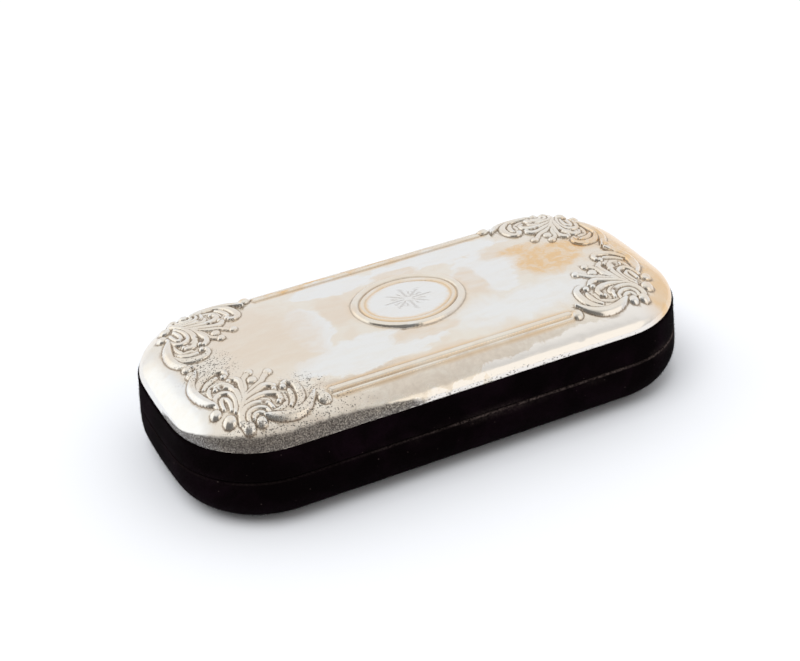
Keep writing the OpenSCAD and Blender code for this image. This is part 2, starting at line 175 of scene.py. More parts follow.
@dataclass(frozen=True)
class Outline:
    """Outline of the case from above, in arcs with common tangents."""

    half_length: float
    half_width: float
    corner_r: float
    end_r: float
    end_steps: int = 11
    corner_steps: int = 40
    side_steps: int = 52

    @property
    def bow_x(self) -> float:
        """Place along X of the centre of the bowed end."""
        return self.half_length - self.end_r

    @property
    def corner(self) -> tuple[float, float]:
        """Centre of the corner's arc."""
        y = self.half_width - self.corner_r
        return self.bow_x + math.sqrt((self.end_r - self.corner_r) ** 2 - y * y), y

    @cached_property
    def ring(self) -> Ring:
        """Columns around the outline, anticlockwise from the middle of the right end."""
        cx, cy = self.corner
        turn = math.atan2(cy, cx - self.bow_x)
        end = np.linspace(0, turn, self.end_steps, endpoint=False)
        bend = np.linspace(turn, QUARTER, self.corner_steps, endpoint=False)
        side = np.linspace(cx, 0, self.side_steps + 1)
        end, bend = (np.column_stack([np.cos(a), np.sin(a)]) for a in (end, bend))
        sides = np.column_stack([side, np.full(len(side), self.half_width)])
        normal = np.concatenate([end, bend, np.tile([0.0, 1.0], (len(side), 1))])
        point = np.concatenate([[self.bow_x, 0] + self.end_r * end, [cx, cy] + self.corner_r * bend, sides])
        turns = ((1, 1, 1), (-1, 1, -1), (-1, -1, 1), (1, -1, -1))
        whole = [
            np.concatenate([(q[:-1] if way > 0 else q[:0:-1]) * (sx, sy) for sx, sy, way in turns])
            for q in (point, normal)
        ]
        return Ring(*whole)

    def inset(self, x: Array, y: Array) -> Array:
        """Distance in from the outline.

        Args:
            x: Places along the case.
            y: Places across the case.

        Returns:
            Distances, below nought outside.
        """
        x, y = np.abs(x), np.abs(y)
        cx, cy = self.corner
        side = self.half_width - y
        end = self.end_r - np.hypot(x - self.bow_x, y)
        bend = self.corner_r - np.hypot(x - cx, y - cy)
        cornered = (x > cx) & (y * (cx - self.bow_x) > cy * (x - self.bow_x))
        return np.where(cornered, bend, np.minimum(side, end))


LOOKS = Outline(82.5, 38.45, 27.2, 239.0)
SHELLS = Outline(82.5, 38.5, 29.5, 1.0e5)
HALF_SPINE = 50.0


def to_spine(row: Array, steps: int, height: Callable[[Array, Array], Array]) -> list[Array]:
    """Closes the inside of a loop on the middle line of the case.

    Args:
        row: The innermost loop of the layer.
        steps: Number of loops to add.
        height: Height of the closed part, from x and y.

    Returns:
        The added loops. The last one lies on the middle line.
    """
    goal = np.column_stack([np.clip(row[:, 0], -HALF_SPINE, HALF_SPINE), np.zeros(len(row))])
    rows = []
    for share in np.arange(1, steps + 1) / steps:
        flat = row[:, :2] + (goal - row[:, :2]) * share
        rows.append(np.column_stack([flat, height(flat[:, 0], flat[:, 1])]))
    return rows


def level(z: float) -> Callable[[Array, Array], Array]:
    """A flat height for to_spine."""
    return lambda x, y: np.full(len(x), z)


def loft(rows: Sequence[Array], wrap: bool = False) -> BMesh:
    """Joins loops of points with faces.

    Args:
        rows: Loops with the same number of points, in millimetres.
        wrap: Joins the last loop to the first.

    Returns:
        The mesh, in metres.
    """
    count, columns = len(rows), len(rows[0])
    k = np.arange(columns)
    after = (k + 1) % columns
    faces = []
    for i in range(count if wrap else count - 1):
        a, b = i * columns, (i + 1) % count * columns
        faces += np.column_stack([a + k, a + after, b + after, b + k]).tolist()
    mesh = bpy.data.meshes.new("loft")
    mesh.from_pydata((np.concatenate(rows) * MM).tolist(), [], faces)
    bm = bmesh.new()
    take(bm, mesh)
    merge(bm)
    return bm


def take(bm: BMesh, mesh: bpy.types.Mesh) -> None:
    """Moves a mesh into another one."""
    bm.from_mesh(mesh)
    bpy.data.meshes.remove(mesh)


def as_mesh(name: str, bm: BMesh) -> bpy.types.Mesh:
    """Turns a worked mesh into a plain one.

    Args:
        name: Its name.
        bm: The worked mesh, which is used up.

    Returns:
        The plain mesh.
    """
    mesh = bpy.data.meshes.new(name)
    bm.to_mesh(mesh)
    bm.free()
    return mesh


def merge(bm: BMesh) -> None:
    """Merges the vertices that meet."""
    bmesh.ops.remove_doubles(bm, verts=bm.verts[:], dist=MEETING)


def face_out(bm: BMesh) -> None:
    """Turns the faces of a closed mesh outwards."""
    bmesh.ops.recalc_face_normals(bm, faces=bm.faces[:])


def welded(bm: BMesh, *others: BMesh) -> BMesh:
    """Joins meshes where they meet.

    Args:
        bm: The first one.
        others: The ones to add, which are used up.

    Returns:
        The first one, with all of them and its faces outwards.
    """
    for other in others:
        take(bm, as_mesh("carried", other))
        merge(bm)
    face_out(bm)
    return bm


def places(bm: BMesh) -> Array:
    """Vertices of a mesh in millimetres."""
    return np.array([v.co[:] for v in bm.verts]) / MM


def move_to(bm: BMesh, place: Array) -> None:
    """Puts the vertices of a mesh at places in millimetres."""
    for vertex, co in zip(bm.verts, (place * MM).tolist()):
        vertex.co = co


def edge_ends(bm: BMesh) -> Array:
    """Numbers of the two vertices of each edge."""
    return np.array([[v.index for v in e.verts] for e in bm.edges])


def link(name: str, data: bpy.types.ID) -> Object:
    """Makes an object of its data and puts it in the scene."""
    obj = bpy.data.objects.new(name, data)
    bpy.context.scene.collection.objects.link(obj)
    return obj


def smooth(mesh: bpy.types.Mesh) -> None:
    """Shades every face of a mesh smooth."""
    mesh.polygons.foreach_set("use_smooth", np.ones(len(mesh.polygons), bool))


def bake(obj: Object) -> None:
    """Turns a piece with its modifiers into a plain mesh."""
    bpy.context.view_layer.update()
    graph = bpy.context.evaluated_depsgraph_get()
    plain = bpy.data.meshes.new_from_object(obj.evaluated_get(graph), depsgraph=graph)
    plain.name = obj.name
    obj.modifiers.clear()
    obj.data = plain


@dataclass(frozen=True)
class Dome:
    """Domed face of the lid: turned edge, shoulder and crown, as three arcs in section."""

    outline: Outline
    rim_z: float = 25.6
    edge_r: float = 4.5
    shoulder_in: float = 10.0
    shoulder_up: float = 7.5
    crown_up: float = 2.6
    half_width: float = 38.5
    corner_power: float = 2.9
    rounding: tuple[float, float] = (8, 25)
    inner: float = 16.0

    @property
    def top_z(self) -> float:
        """Height of the crown."""
        return self.rim_z + self.shoulder_up + self.crown_up

    @property
    def crown_a(self) -> float:
        """Slope of the crown at the shoulder line."""
        return 2 * math.atan(self.crown_up / (self.half_width - self.shoulder_in))

    @property
    def crown_r(self) -> float:
        """Radius of the crown's arc."""
        return (self.half_width - self.shoulder_in) / math.sin(self.crown_a)

    @cached_property
    def shoulder(self) -> tuple[float, float, float]:
        """Inset and height of the centre of the shoulder's arc, and its radius."""
        across, up = self.shoulder_in - self.edge_r, self.shoulder_up
        inward = math.sin(self.crown_a), -math.cos(self.crown_a)
        lean = across * inward[0] + up * inward[1]
        r = (self.edge_r**2 - across**2 - up**2) / (2 * (lean + self.edge_r))
        return self.shoulder_in + r * inward[0], self.rim_z + up + r * inward[1], r

    @property
    def edge_a(self) -> float:
        """Angle past upright at which the turned edge meets the shoulder."""
        x, z, _ = self.shoulder
        return QUARTER - math.atan2(self.rim_z - z, x - self.edge_r)

    def across(self, x: Array, y: Array) -> Array:
        """Distance from the crown's middle line, which rounds off towards the ends.

        Args:
            x: Places along the case.
            y: Places across the case.

        Returns:
            Distances in millimetres.
        """
        near_edge = self.half_width - self.outline.inset(x, y)
        past = np.maximum(np.abs(x) - self.outline.half_length + self.half_width, 0)
        p = self.corner_power
        rounded = (np.abs(y) ** p + past**p) ** (1 / p)
        return near_edge + (rounded - near_edge) * smoothstep(self.half_width - near_edge, *self.rounding)

    def height(self, x: Array, y: Array, depth: float = 0) -> Array:
        """Height of the dome.

        Args:
            x: Places along the case.
            y: Places across the case.
            depth: Depth below the plate's face.

        Returns:
            Heights in millimetres.
        """
        m = self.across(x, y)
        d = self.half_width - m
        sx, sz, sr = self.shoulder
        edge_end = self.edge_r - (self.edge_r - depth) * math.sin(self.edge_a)
        shoulder_end = sx - (sr - depth) * math.sin(self.crown_a)
        edge = self.rim_z + np.sqrt(np.maximum((self.edge_r - depth) ** 2 - (self.edge_r - d) ** 2, 0))
        shoulder = sz + np.sqrt(np.maximum((sr - depth) ** 2 - (sx - d) ** 2, 0))
        crown = self.top_z - self.crown_r + np.sqrt((self.crown_r - depth) ** 2 - m * m)
        return np.where(d < edge_end, edge, np.where(d < shoulder_end, shoulder, crown))

    def rows(self, depth: float, edge_steps: int, step: float) -> list[Array]:
        """Loops over the dome from its lower edge to the middle line.

        Args:
            depth: Depth below the plate's face.
            edge_steps: Loops over the turned edge.
            step: Distance between loops further in.

        Returns:
            The loops.
        """
        ring = self.outline.ring
        r = self.edge_r - depth
        rows = [
            ring.row(self.edge_r + r * math.cos(a), self.rim_z + r * math.sin(a))
            for a in np.linspace(math.pi, QUARTER + self.edge_a, edge_steps)
        ]
        start = self.edge_r - r * math.sin(self.edge_a)
        for d in np.linspace(start, self.inner, max(2, round((self.inner - start) / step)))[1:]:
            flat = ring.row(d, 0)
            rows.append(np.column_stack([flat[:, :2], self.height(flat[:, 0], flat[:, 1], depth)]))
        steps = round((self.half_width - self.inner) / step)
        return rows + to_spine(rows[-1], steps, lambda x, y: self.height(x, y, depth))


# Shader groups and finishes


@dataclass(frozen=True)
class Signal:
    """A socket that takes part in sums, so that masks read like formulas."""

    w: "Wiring"
    socket: Socket

    def __add__(self, other: object) -> "Signal":
        """Sum."""
        return self.w.maths("ADD", self, other)

    def __radd__(self, other: object) -> "Signal":
        """Sum that starts with a number."""
        return self.w.maths("ADD", other, self)

    def __sub__(self, other: object) -> "Signal":
        """Difference."""
        return self.w.maths("SUBTRACT", self, other)

    def __rsub__(self, other: object) -> "Signal":
        """Difference that starts with a number."""
        return self.w.maths("SUBTRACT", other, self)

    def __mul__(self, other: object) -> "Signal":
        """Product."""
        return self.w.maths("MULTIPLY", self, other)


class Wiring:
    """Short ways to add nodes and links to a node tree."""

    def __init__(self, tree: bpy.types.NodeTree) -> None:
        """Takes the tree to work on."""
        self.tree = tree

    def node(self, kind: str, inputs: dict | None = None, **settings: object) -> bpy.types.Node:
        """Adds a node.

        Args:
            kind: Its Blender type.
            inputs: Values or signals for its inputs, by name or number.
            settings: Its other settings.

        Returns:
            The node.
        """
        made = self.tree.nodes.new(kind)
        for key, value in settings.items():
            setattr(made, key, value)
        for key, value in (inputs or {}).items():
            self.feed(made.inputs[key], value)
        return made

    def signals(self, kind: str, inputs: dict | None = None, **settings: object) -> list[Signal]:
        """Adds a node and gives its outputs."""
        return [Signal(self, s) for s in self.node(kind, inputs, **settings).outputs]

    def feed(self, socket: Socket, value: object) -> None:
        """Links a socket or sets its value.

        Args:
            socket: The input.
            value: A signal, a number or a tuple. A colour gets its alpha here.
        """
        if isinstance(value, Signal):
            self.tree.links.new(value.socket, socket)
        elif socket.type == "RGBA":
            socket.default_value = (*value, 1)
        else:
            socket.default_value = value

    def maths(self, operation: str, *values: object) -> Signal:
        """Adds a Math node."""
        return self.signals("ShaderNodeMath", dict(enumerate(values)), operation=operation)[0]

    def vector(self, operation: str, *values: object) -> Signal:
        """Adds a Vector Math node."""
        return self.signals("ShaderNodeVectorMath", dict(enumerate(values)), operation=operation)[0]

    def mix(self, share: object, first: object, second: object) -> Signal:
        """Mixes the second of two colours into the first."""
        return self.signals("ShaderNodeMix", {0: share, 6: first, 7: second}, data_type="RGBA")[2]

    def between(self, value: object, low: object, high: object, to_low: float = 0, to_high: float = 1) -> Signal:
        """Maps a value smoothly from one range to another."""
        inputs = {0: value, 1: low, 2: high, 3: to_low, 4: to_high}
        return self.signals("ShaderNodeMapRange", inputs, interpolation_type="SMOOTHSTEP")[0]

    def noise(
        self, place: object, scale: object, detail: float = 3, rough: float = 0.5, distort: float = 0
    ) -> Signal:
        """Adds a noise of so many repeats to the metre."""
        inputs = {"Vector": place, "Scale": scale, "Detail": detail, "Roughness": rough, "Distortion": distort}
        return self.signals("ShaderNodeTexNoise", inputs)[0]

    def axes(self, vector: object) -> list[Signal]:
        """X, Y and Z of a vector."""
        return self.signals("ShaderNodeSeparateXYZ", {0: vector})


class Surface(Wiring):
    """Wiring of a material around its Principled shader."""

    def __init__(self, name: str) -> None:
        """Makes the material, with Object coordinates at hand as place."""
        self.material = bpy.data.materials.new(name)
        self.material.use_nodes = True
        super().__init__(self.material.node_tree)
        self.tree.nodes.clear()
        self.shader = self.node("ShaderNodeBsdfPrincipled")
        self.place = Signal(self, self.node("ShaderNodeTexCoord").outputs["Object"])
        self.node("ShaderNodeOutputMaterial", {"Surface": Signal(self, self.shader.outputs[0])})

    def attribute(self, name: str) -> Signal:
        """Reads a value of the piece's vertices."""
        return Signal(self, self.node("ShaderNodeAttribute", attribute_name=name).outputs["Fac"])

    def dress(self, inputs: dict[str, object]) -> None:
        """Feeds the shader's inputs."""
        for key, value in inputs.items():
            self.feed(self.shader.inputs[key], value)

    def bump(self, height: object, depth: float, strength: float = 1.0) -> None:
        """Feeds the shader's normal from a height of the given depth in metres."""
        inputs = {"Strength": strength, "Distance": depth, "Height": height}
        self.dress({"Normal": self.signals("ShaderNodeBump", inputs)[0]})


class Shared:
    """A shader group that finishes place with their own values."""

    def __init__(
        self, name: str, inputs: dict[str, object], outputs: Sequence[str], build: Callable, kind: str = "Float"
    ) -> None:
        """Makes the group.

        Args:
            name: Its name.
            inputs: Its inputs with their defaults: a number, or a tuple for a vector.
            outputs: The names of its outputs.
            build: Adds its nodes and gives the outputs' signals. It takes the wiring and the inputs.
            kind: What its outputs carry: Float or Vector.
        """
        self.tree = bpy.data.node_groups.new(name, "ShaderNodeTree")
        add = self.tree.interface.new_socket
        for key, value in inputs.items():
            sort = "Vector" if isinstance(value, tuple) else "Float"
            add(key, in_out="INPUT", socket_type=f"NodeSocket{sort}").default_value = value
        for key in outputs:
            add(key, in_out="OUTPUT", socket_type=f"NodeSocket{kind}")
        w = Wiring(self.tree)
        given = {s.socket.name: s for s in w.signals("NodeGroupInput")}
        w.node("NodeGroupOutput", dict(zip(outputs, build(w, given))))

    def on(self, w: Wiring, place: object, **inputs: object) -> list[Signal]:
        """Places the group.

        Args:
            w: Wiring to place it in.
            place: Where it reads its pattern.
            inputs: Its other inputs, with _ for a space.

        Returns:
            Its outputs.
        """
        made = w.node("ShaderNodeGroup", node_tree=self.tree)
        w.feed(made.inputs["Vector"], place)
        for key, value in inputs.items():
            w.feed(made.inputs[key.replace("_", " ")], value)
        return [Signal(w, s) for s in made.outputs]


def build_patch(w: Wiring, i: dict[str, Signal]) -> list[Signal]:
    """An oval patch with a cloudy edge.

    Args:
        w: Wiring of the group.
        i: Its inputs.

    Returns:
        The patch's mask.
    """
    away = w.vector("DIVIDE", w.vector("SUBTRACT", i["Vector"], i["Centre"]), i["Radius"])
    far = w.signals("ShaderNodeVectorMath", {0: away}, operation="LENGTH")[1]
    cloud = w.noise(i["Vector"], i["Scale"], 5, 0.6, 0.4)
    far = far + (cloud - 0.5) * i["Ragged"]
    return [w.between(far, 1 - i["Softness"], 1 + i["Softness"], 1, 0)]


def build_tear(w: Wiring, i: dict[str, Signal]) -> list[Signal]:
    """Places shifted by a cloudy amount, which makes edges ragged.

    Args:
        w: Wiring of the group.
        i: Its inputs.

    Returns:
        The shifted places.
    """
    inputs = {"Vector": i["Vector"], "Scale": i["Scale"], "Detail": 2.0}
    centred = w.vector("SUBTRACT", w.signals("ShaderNodeTexNoise", inputs)[1], (0.5, 0.5, 0.5))
    shift = w.signals("ShaderNodeVectorMath", {0: centred, "Scale": i["Amount"]}, operation="SCALE")[0]
    return [w.vector("ADD", i["Vector"], shift)]


def build_pits(w: Wiring, i: dict[str, Signal]) -> list[Signal]:
    """Small holes of uneven size.

    Args:
        w: Wiring of the group.
        i: Its inputs.

    Returns:
        The holes' mask.
    """
    inputs = {"Vector": i["Vector"], "Scale": i["Scale"], "Randomness": 1}
    distance, colour, _ = w.signals("ShaderNodeTexVoronoi", inputs)[:3]
    size = w.signals("ShaderNodeSeparateColor", {0: colour})[0]
    reach = w.maths("POWER", size, 3) * i["Size"] * i["Share"]
    return [w.between(distance, reach * 0.55, reach, 1, 0) * w.between(i["Share"], 0.02, 0.2)]


def build_grain(w: Wiring, i: dict[str, Signal]) -> list[Signal]:
    """Fine scratches or threads drawn out along one way, and broad clouds."""
    drawn = w.vector("MULTIPLY", i["Vector"], i["Stretch"])
    return [w.noise(drawn, 1, 4, 0.65), w.noise(i["Vector"], i["Cloud Scale"], 3)]


def build_weave(w: Wiring, i: dict[str, Signal]) -> list[Signal]:
    """Crossing threads.

    Args:
        w: Wiring of the group.
        i: Its inputs.

    Returns:
        The cloth's height.
    """
    x, y, z = w.axes(i["Vector"])
    turn = i["Threads"] * (2 * math.pi)
    along, over = (w.maths("SINE", (axis + z) * turn) for axis in (x, y))
    return [along * over + along * 0.4]


ORIGIN = (0, 0, 0)
PATCH = Shared(
    "cloudy_patch",
    {
        "Vector": ORIGIN,
        "Centre": ORIGIN,
        "Radius": (0.01, 0.01, 1),
        "Scale": 150.0,
        "Ragged": 0.8,
        "Softness": 0.1,
    },
    ["Mask"],
    build_patch,
)
TEAR = Shared("tear", {"Vector": ORIGIN, "Scale": 100.0, "Amount": 0.001}, ["Place"], build_tear, "Vector")
PITS = Shared("pits", {"Vector": ORIGIN, "Scale": 900.0, "Size": 0.5, "Share": 1.0}, ["Mask"], build_pits)
GRAIN = Shared(
    "grain",
    {"Vector": ORIGIN, "Stretch": (300, 3000, 3000), "Cloud Scale": 60.0},
    ["Fine", "Broad"],
    build_grain,
)
WEAVE = Shared("weave", {"Vector": ORIGIN, "Threads": 3000.0}, ["Height"], build_weave)


class Finish:
    """A finish with one Principled shader that reads Object coordinates."""

    name: str
    slot: Slot

    def material(self) -> bpy.types.Material:
        """The finish as a material, made once."""
        made = bpy.data.materials.get(self.name)
        if made is None:
            surface = Surface(self.name)
            self.dress(surface)
            made = surface.material
        return made

    def dress(self, s: Surface) -> None:
        """Feeds the surface's shader."""
        raise NotImplementedError


@dataclass(frozen=True)
class Patch:
    """An oval patch on the plate, in millimetres seen from above."""

    x: float
    y: float
    radius_x: float
    radius_y: float
    ragged: float = 0.9
    softness: float = 0.12
    scale: float = 150.0

    def mask(self, s: Surface, place: Signal) -> Signal:
        """Mask of the patch.

        Args:
            s: The surface to dress.
            place: Where to read the patch's pattern.

        Returns:
            The mask.
        """
        centre = (self.x * MM, self.y * MM, 0.03)
        radius = (self.radius_x * MM, self.radius_y * MM, 1.0)
        form = {"Scale": self.scale, "Ragged": self.ragged, "Softness": self.softness}
        return PATCH.on(s, place, Centre=centre, Radius=radius, **form)[0]


def most(s: Surface, place: Signal, patches: Sequence[Patch]) -> Signal:
    """Mask of several patches together.

    Args:
        s: The surface to dress.
        place: Where to read their patterns.
        patches: The patches.

    Returns:
        The largest of their masks.
    """
    total, *others = (patch.mask(s, place) for patch in patches)
    for mask in others:
        total = s.maths("MAXIMUM", total, mask)
    return total


@dataclass(frozen=True)
class PressedSilver(Finish):
    """Worn silver: bright cloudy patches, warm tarnish, dark pits, a grimy front corner, painted shade in the
    relief's hollows and painted highlights on its crests.
    """

    name: str = "pressed_silver"
    slot: Slot = Slot.SILVER
    silver: Colour = (0.80, 0.75, 0.665)
    bright: Colour = (0.815, 0.815, 0.80)
    cream: Colour = (0.83, 0.79, 0.74)
    peach: Colour = (0.775, 0.675, 0.56)
    gold: Colour = (0.79, 0.545, 0.30)
    stain: Colour = (0.63, 0.55, 0.465)
    # Colour of the painted shade in the relief's valleys.
    relief_shading: Colour = (0.46, 0.37, 0.275)
    # Brown of the painted shade in the relief's creases, holes and feet.
    brown: Colour = (0.20, 0.145, 0.105)
    grime: Colour = (0.065, 0.054, 0.048)
    tears: tuple[tuple[float, float], ...] = ((75, 7.0), (260, 2.2), (900, 0.7))
    bright_patches: tuple[Patch, ...] = (
        Patch(-22, -18, 25, 7.5), Patch(-33, 1, 7, 13), Patch(-16, 22, 14, 6), Patch(20, 22, 23, 6),
        Patch(29, 4, 11, 14), Patch(30, -17, 24, 7, 1.4, 0.5), Patch(0, 0.6, 14, 11, 0.15, 0.05),
        Patch(-80, -8, 6.5, 24, 0.5, 0.35),
    )
    clean_patches: tuple[Patch, ...] = (
        Patch(-6, -38.6, 14, 1.3, 0.9, 0.1, 400.0), Patch(18, -38, 15, 2.4, 0.7, 0.08, 400.0),
        Patch(42, -37.5, 20, 4.2, 0.5, 0.08, 350.0), Patch(58, -35, 10, 4.5, 0.6, 0.3, 300.0),
    )
    peach_patches: tuple[Patch, ...] = (
        Patch(-47, 4, 15, 19, 0.8, 0.4), Patch(-21.5, 6, 5, 9, 0.9, 0.15),
        Patch(-3, -16.5, 11, 3.4, 0.9, 0.2), Patch(22, 0, 4.2, 9, 0.8, 0.25),
        Patch(4, 18.5, 7, 4, 0.9, 0.2), Patch(-20, -26.6, 30, 1.5, 0.8, 0.4, 300.0),
        Patch(0, 29.2, 40, 1.2, 0.6, 0.4, 300.0), Patch(77, -10, 8.5, 27, 0.7, 0.4),
        Patch(36, 12, 5, 4, 1.2, 0.4),
    )
    gold_patches: tuple[Patch, ...] = (
        Patch(50, 1, 12, 8, 1.1, 0.3), Patch(60, 5, 10, 4, 1.1, 0.4), Patch(44, 10, 7, 3, 1.2, 0.4),
        Patch(31.6, -35.2, 2.4, 1.1, 0.5, 0.3, 500.0), Patch(77, -2, 8.5, 34, 0.6, 0.5),
        Patch(70, -34, 7, 3, 0.8, 0.5), Patch(-18, 29.2, 24, 0.9, 0.6, 0.5, 300.0),
    )
    stains: tuple[Patch, ...] = (
        Patch(4, -33.6, 44, 3.4, 0.5, 0.35, 300.0), Patch(-62, -36.5, 26, 3.6, 0.5, 0.5, 300.0),
        Patch(-30, -26.2, 14, 1.0, 0.8, 0.5, 400.0),
    )
    pitted: tuple[Patch, ...] = (
        Patch(-56, -34, 24, 6, 0.5, 0.6), Patch(-66, -2, 8, 8, 0.6, 0.6), Patch(-46, -24, 7, 6, 0.6, 0.6),
        Patch(12, -39, 62, 0.8, 1.3, 0.5),
    )

    def dress(self, s: Surface) -> None:
        """Feeds the shader from the patches, the pits and the plate's own attributes.

        Args:
            s: The surface to dress.
        """
        hollow, warm, rim, valley = (s.attribute(name) for name in ("hollow", "warm", "rim", "valley"))
        torn = s.place
        for scale, amount in self.tears:
            torn = TEAR.on(s, torn, Scale=scale, Amount=amount * MM)[0]
        streak, broad = GRAIN.on(s, s.place, Stretch=(120, 420, 400), Cloud_Scale=60.0)
        fine = s.noise(s.place, 2400, 3, 0.6)
        groups = self.bright_patches, self.clean_patches, self.peach_patches, self.gold_patches
        bright, clean, peach, gold = (most(s, torn, patches) for patches in groups)
        stain = most(s, torn, self.stains) * s.between(clean, 0, 1, 1, 0)
        flecks = s.between(s.noise(torn, 420, 4, 0.65), 0.36, 0.6, 0.5, 1)
        smears = s.between(s.noise(torn, 500, 4, 0.7), 0.3, 0.7, 0.35, 0.85)
        colour = self.silver
        for share, tone in (
            (s.between(s.noise(torn, 130, 4, 0.6), 0.38, 0.62) * 0.55, self.peach),
            (bright * s.between(streak, 0.3, 0.6, 0.75, 1), self.bright),
            (peach * s.between(streak, 0.3, 0.65, 0.55, 1), self.peach),
            (gold * flecks, self.gold),
            (stain * smears, self.stain),
            (clean, self.cream),
            (warm * s.between(broad, 0.3, 0.6, 0.35, 0.8), self.gold),
            # Painted highlight on the relief's crests, then painted shade in its valleys.
            (s.between(valley, -0.2, -0.9, 0, 0.7), self.bright),
            (s.between(valley, 0.06, 0.8) * s.between(fine, 0.2, 0.7, 0.5, 0.8), self.relief_shading),
            # Painted shade: brown in the creases, holes, engraved lines and at the feet of the ring and ribs.
            (hollow * s.between(fine, 0.2, 0.7, 0.6, 1), self.brown),
        ):
            colour = s.mix(share, colour, tone)
        pits = PITS.on(s, s.place, Scale=2600, Size=1.05, Share=most(s, s.place, self.pitted) + 0.05)[0]
        edge = rim + (s.noise(s.place, 420, 5, 0.7) - 0.5) * 0.5
        grimy = s.between(edge, 0.22, 0.6) * s.between(fine, 0.25, 0.62, 0.45, 1)
        dark = s.maths("MAXIMUM", pits * 0.8, grimy * 0.97)
        dull = s.maths("MAXIMUM", dark, hollow * 0.7)
        rough = s.between(stain, 0, 1, 0.13, 0.32) + fine * 0.06
        s.dress(
            {
                "Base Color": s.mix(dark, colour, self.grime),
                "Metallic": s.between(dull, 0, 1, 1, 0.6),
                "Roughness": rough + dull * 0.3,
            }
        )
        relief = s.noise(s.place, 230, 2, 0.45) + fine * s.between(stain, 0, 1, 0.02, 0.07)
        s.bump(relief - pits * 0.35, 0.12 * MM, 0.9)


@dataclass(frozen=True)
class Velvet(Finish):
    """Near-black pile with a plum tint, lint and a worn line at the parting."""

    name: str = "velvet_pile"
    slot: Slot = Slot.VELVET
    deep: Colour = (0.0016, 0.0006, 0.0009)
    # The lighter tone also stands in for the pile's sheen where light falls on it: partly painted sheen.
    light: Colour = (0.0068, 0.0026, 0.0052)
    worn: Colour = (0.090, 0.068, 0.062)
    edge_z: float = 15.62
    edge_half: float = 0.65
    dusty_half: float = 3

    def dress(self, s: Surface) -> None:
        """Feeds the shader from pile, brushed clouds whose lighter tone is partly a painted sheen, and wear.

        Args:
            s: The surface to dress.
        """
        pile = s.noise(s.place, 3500, 3, 0.7)
        cloud = s.noise(s.place, 55, 4, 0.6, 0.5)
        brushed = s.between(cloud, 0.4, 0.75) * s.between(pile, 0.3, 0.7, 0.5, 1)
        # Brushed clouds: random lighter pile, partly a painted sheen.
        colour = s.mix(brushed, self.deep, self.light)
        x, _, z = s.axes(s.place)
        off = s.maths("ABSOLUTE", z - self.edge_z * MM)
        fine = s.between(s.noise(s.place, 1500, 5, 0.75), 0.35, 0.62)
        uneven = s.between(s.noise(s.place, 90, 3), 0.3, 0.55, 0.25, 1)
        wear = s.between(off, 0, self.edge_half * MM, 1, 0) * uneven
        dust = s.between(s.noise(s.place, 60, 3), 0.45, 0.62)
        dusty = s.between(off, 0, self.dusty_half * MM, 0.22, 0) * dust
        wear = s.maths("MAXIMUM", wear, dusty) * fine * s.between(x, -0.045, 0.02, 0.1, 1)
        colour = s.mix(wear, colour, self.worn)
        lint = PITS.on(s, s.place, Scale=420, Size=0.16, Share=0.8)[0]
        s.dress(
            {
                "Base Color": s.mix(lint * 0.45, colour, self.worn),
                "Roughness": s.between(pile, 0, 1, 0.8, 1),
                "Specular IOR Level": 0.02,
                "Sheen Weight": 0.006,
                "Sheen Roughness": 0.35,
                "Sheen Tint": (0.80, 0.55, 0.72),
            }
        )
        s.bump(pile + cloud * 2, 0.12 * MM)


@dataclass(frozen=True)
class Satin(Finish):
    """Cream satin with fine threads and faint pulls."""

    name: str = "lining_satin"
    slot: Slot = Slot.SATIN
    pale: Colour = (0.74, 0.67, 0.55)
    shade: Colour = (0.62, 0.53, 0.41)
    threads: float = 3300.0
    age: float = 0.5

    def dress(self, s: Surface) -> None:
        """Feeds the shader from threads, pulls and age stains.

        Args:
            s: The surface to dress.
        """
        weave = WEAVE.on(s, s.place, Threads=self.threads)[0]
        pulls, clouds = GRAIN.on(s, s.place, Stretch=(150, 2500, 2500), Cloud_Scale=45.0)
        colour = s.mix(s.between(clouds, 0.35, 0.75) * self.age, self.pale, self.shade)
        s.dress(
            {
                "Base Color": s.mix(s.between(pulls, 0.3, 0.8, 0, 0.3), colour, self.shade),
                "Roughness": s.between(pulls, 0.2, 0.8, 0.36, 0.55),
                "Sheen Weight": 0.25,
                "Sheen Roughness": 0.3,
            }
        )
        s.bump(weave * 0.4 + clouds * 4, 0.05 * MM)


@dataclass(frozen=True)
class BareSteel(Finish):
    """Rolled or drawn steel with grain, dull clouds and a little rust."""

    name: str = "shell_steel"
    slot: Slot = Slot.STEEL
    face: Colour = (0.45, 0.46, 0.48)
    dull: Colour = (0.30, 0.29, 0.28)
    rust_share: float = 0.25
    rough: float = 0.32
    rust: Colour = (0.22, 0.11, 0.05)
    stretch: tuple[float, float, float] = (120.0, 2600.0, 2600.0)

    def dress(self, s: Surface) -> None:
        """Feeds the shader from drawn grain, clouds and rust.

        Args:
            s: The surface to dress.
        """
        drawn, clouds = GRAIN.on(s, s.place, Stretch=self.stretch, Cloud_Scale=140.0)
        colour = s.mix(s.between(clouds, 0.35, 0.7), self.face, self.dull)
        rust = s.between(s.noise(s.place, 420, 5, 0.7), 0.58, 0.7) * self.rust_share
        rough = s.between(drawn, 0.2, 0.8, self.rough, self.rough + 0.18)
        s.dress(
            {
                "Base Color": s.mix(rust, colour, self.rust),
                "Metallic": s.between(rust, 0, 1, 1, 0.2),
                "Roughness": rough + rust * 0.4,
            }
        )
        s.bump(drawn, 0.015 * MM)


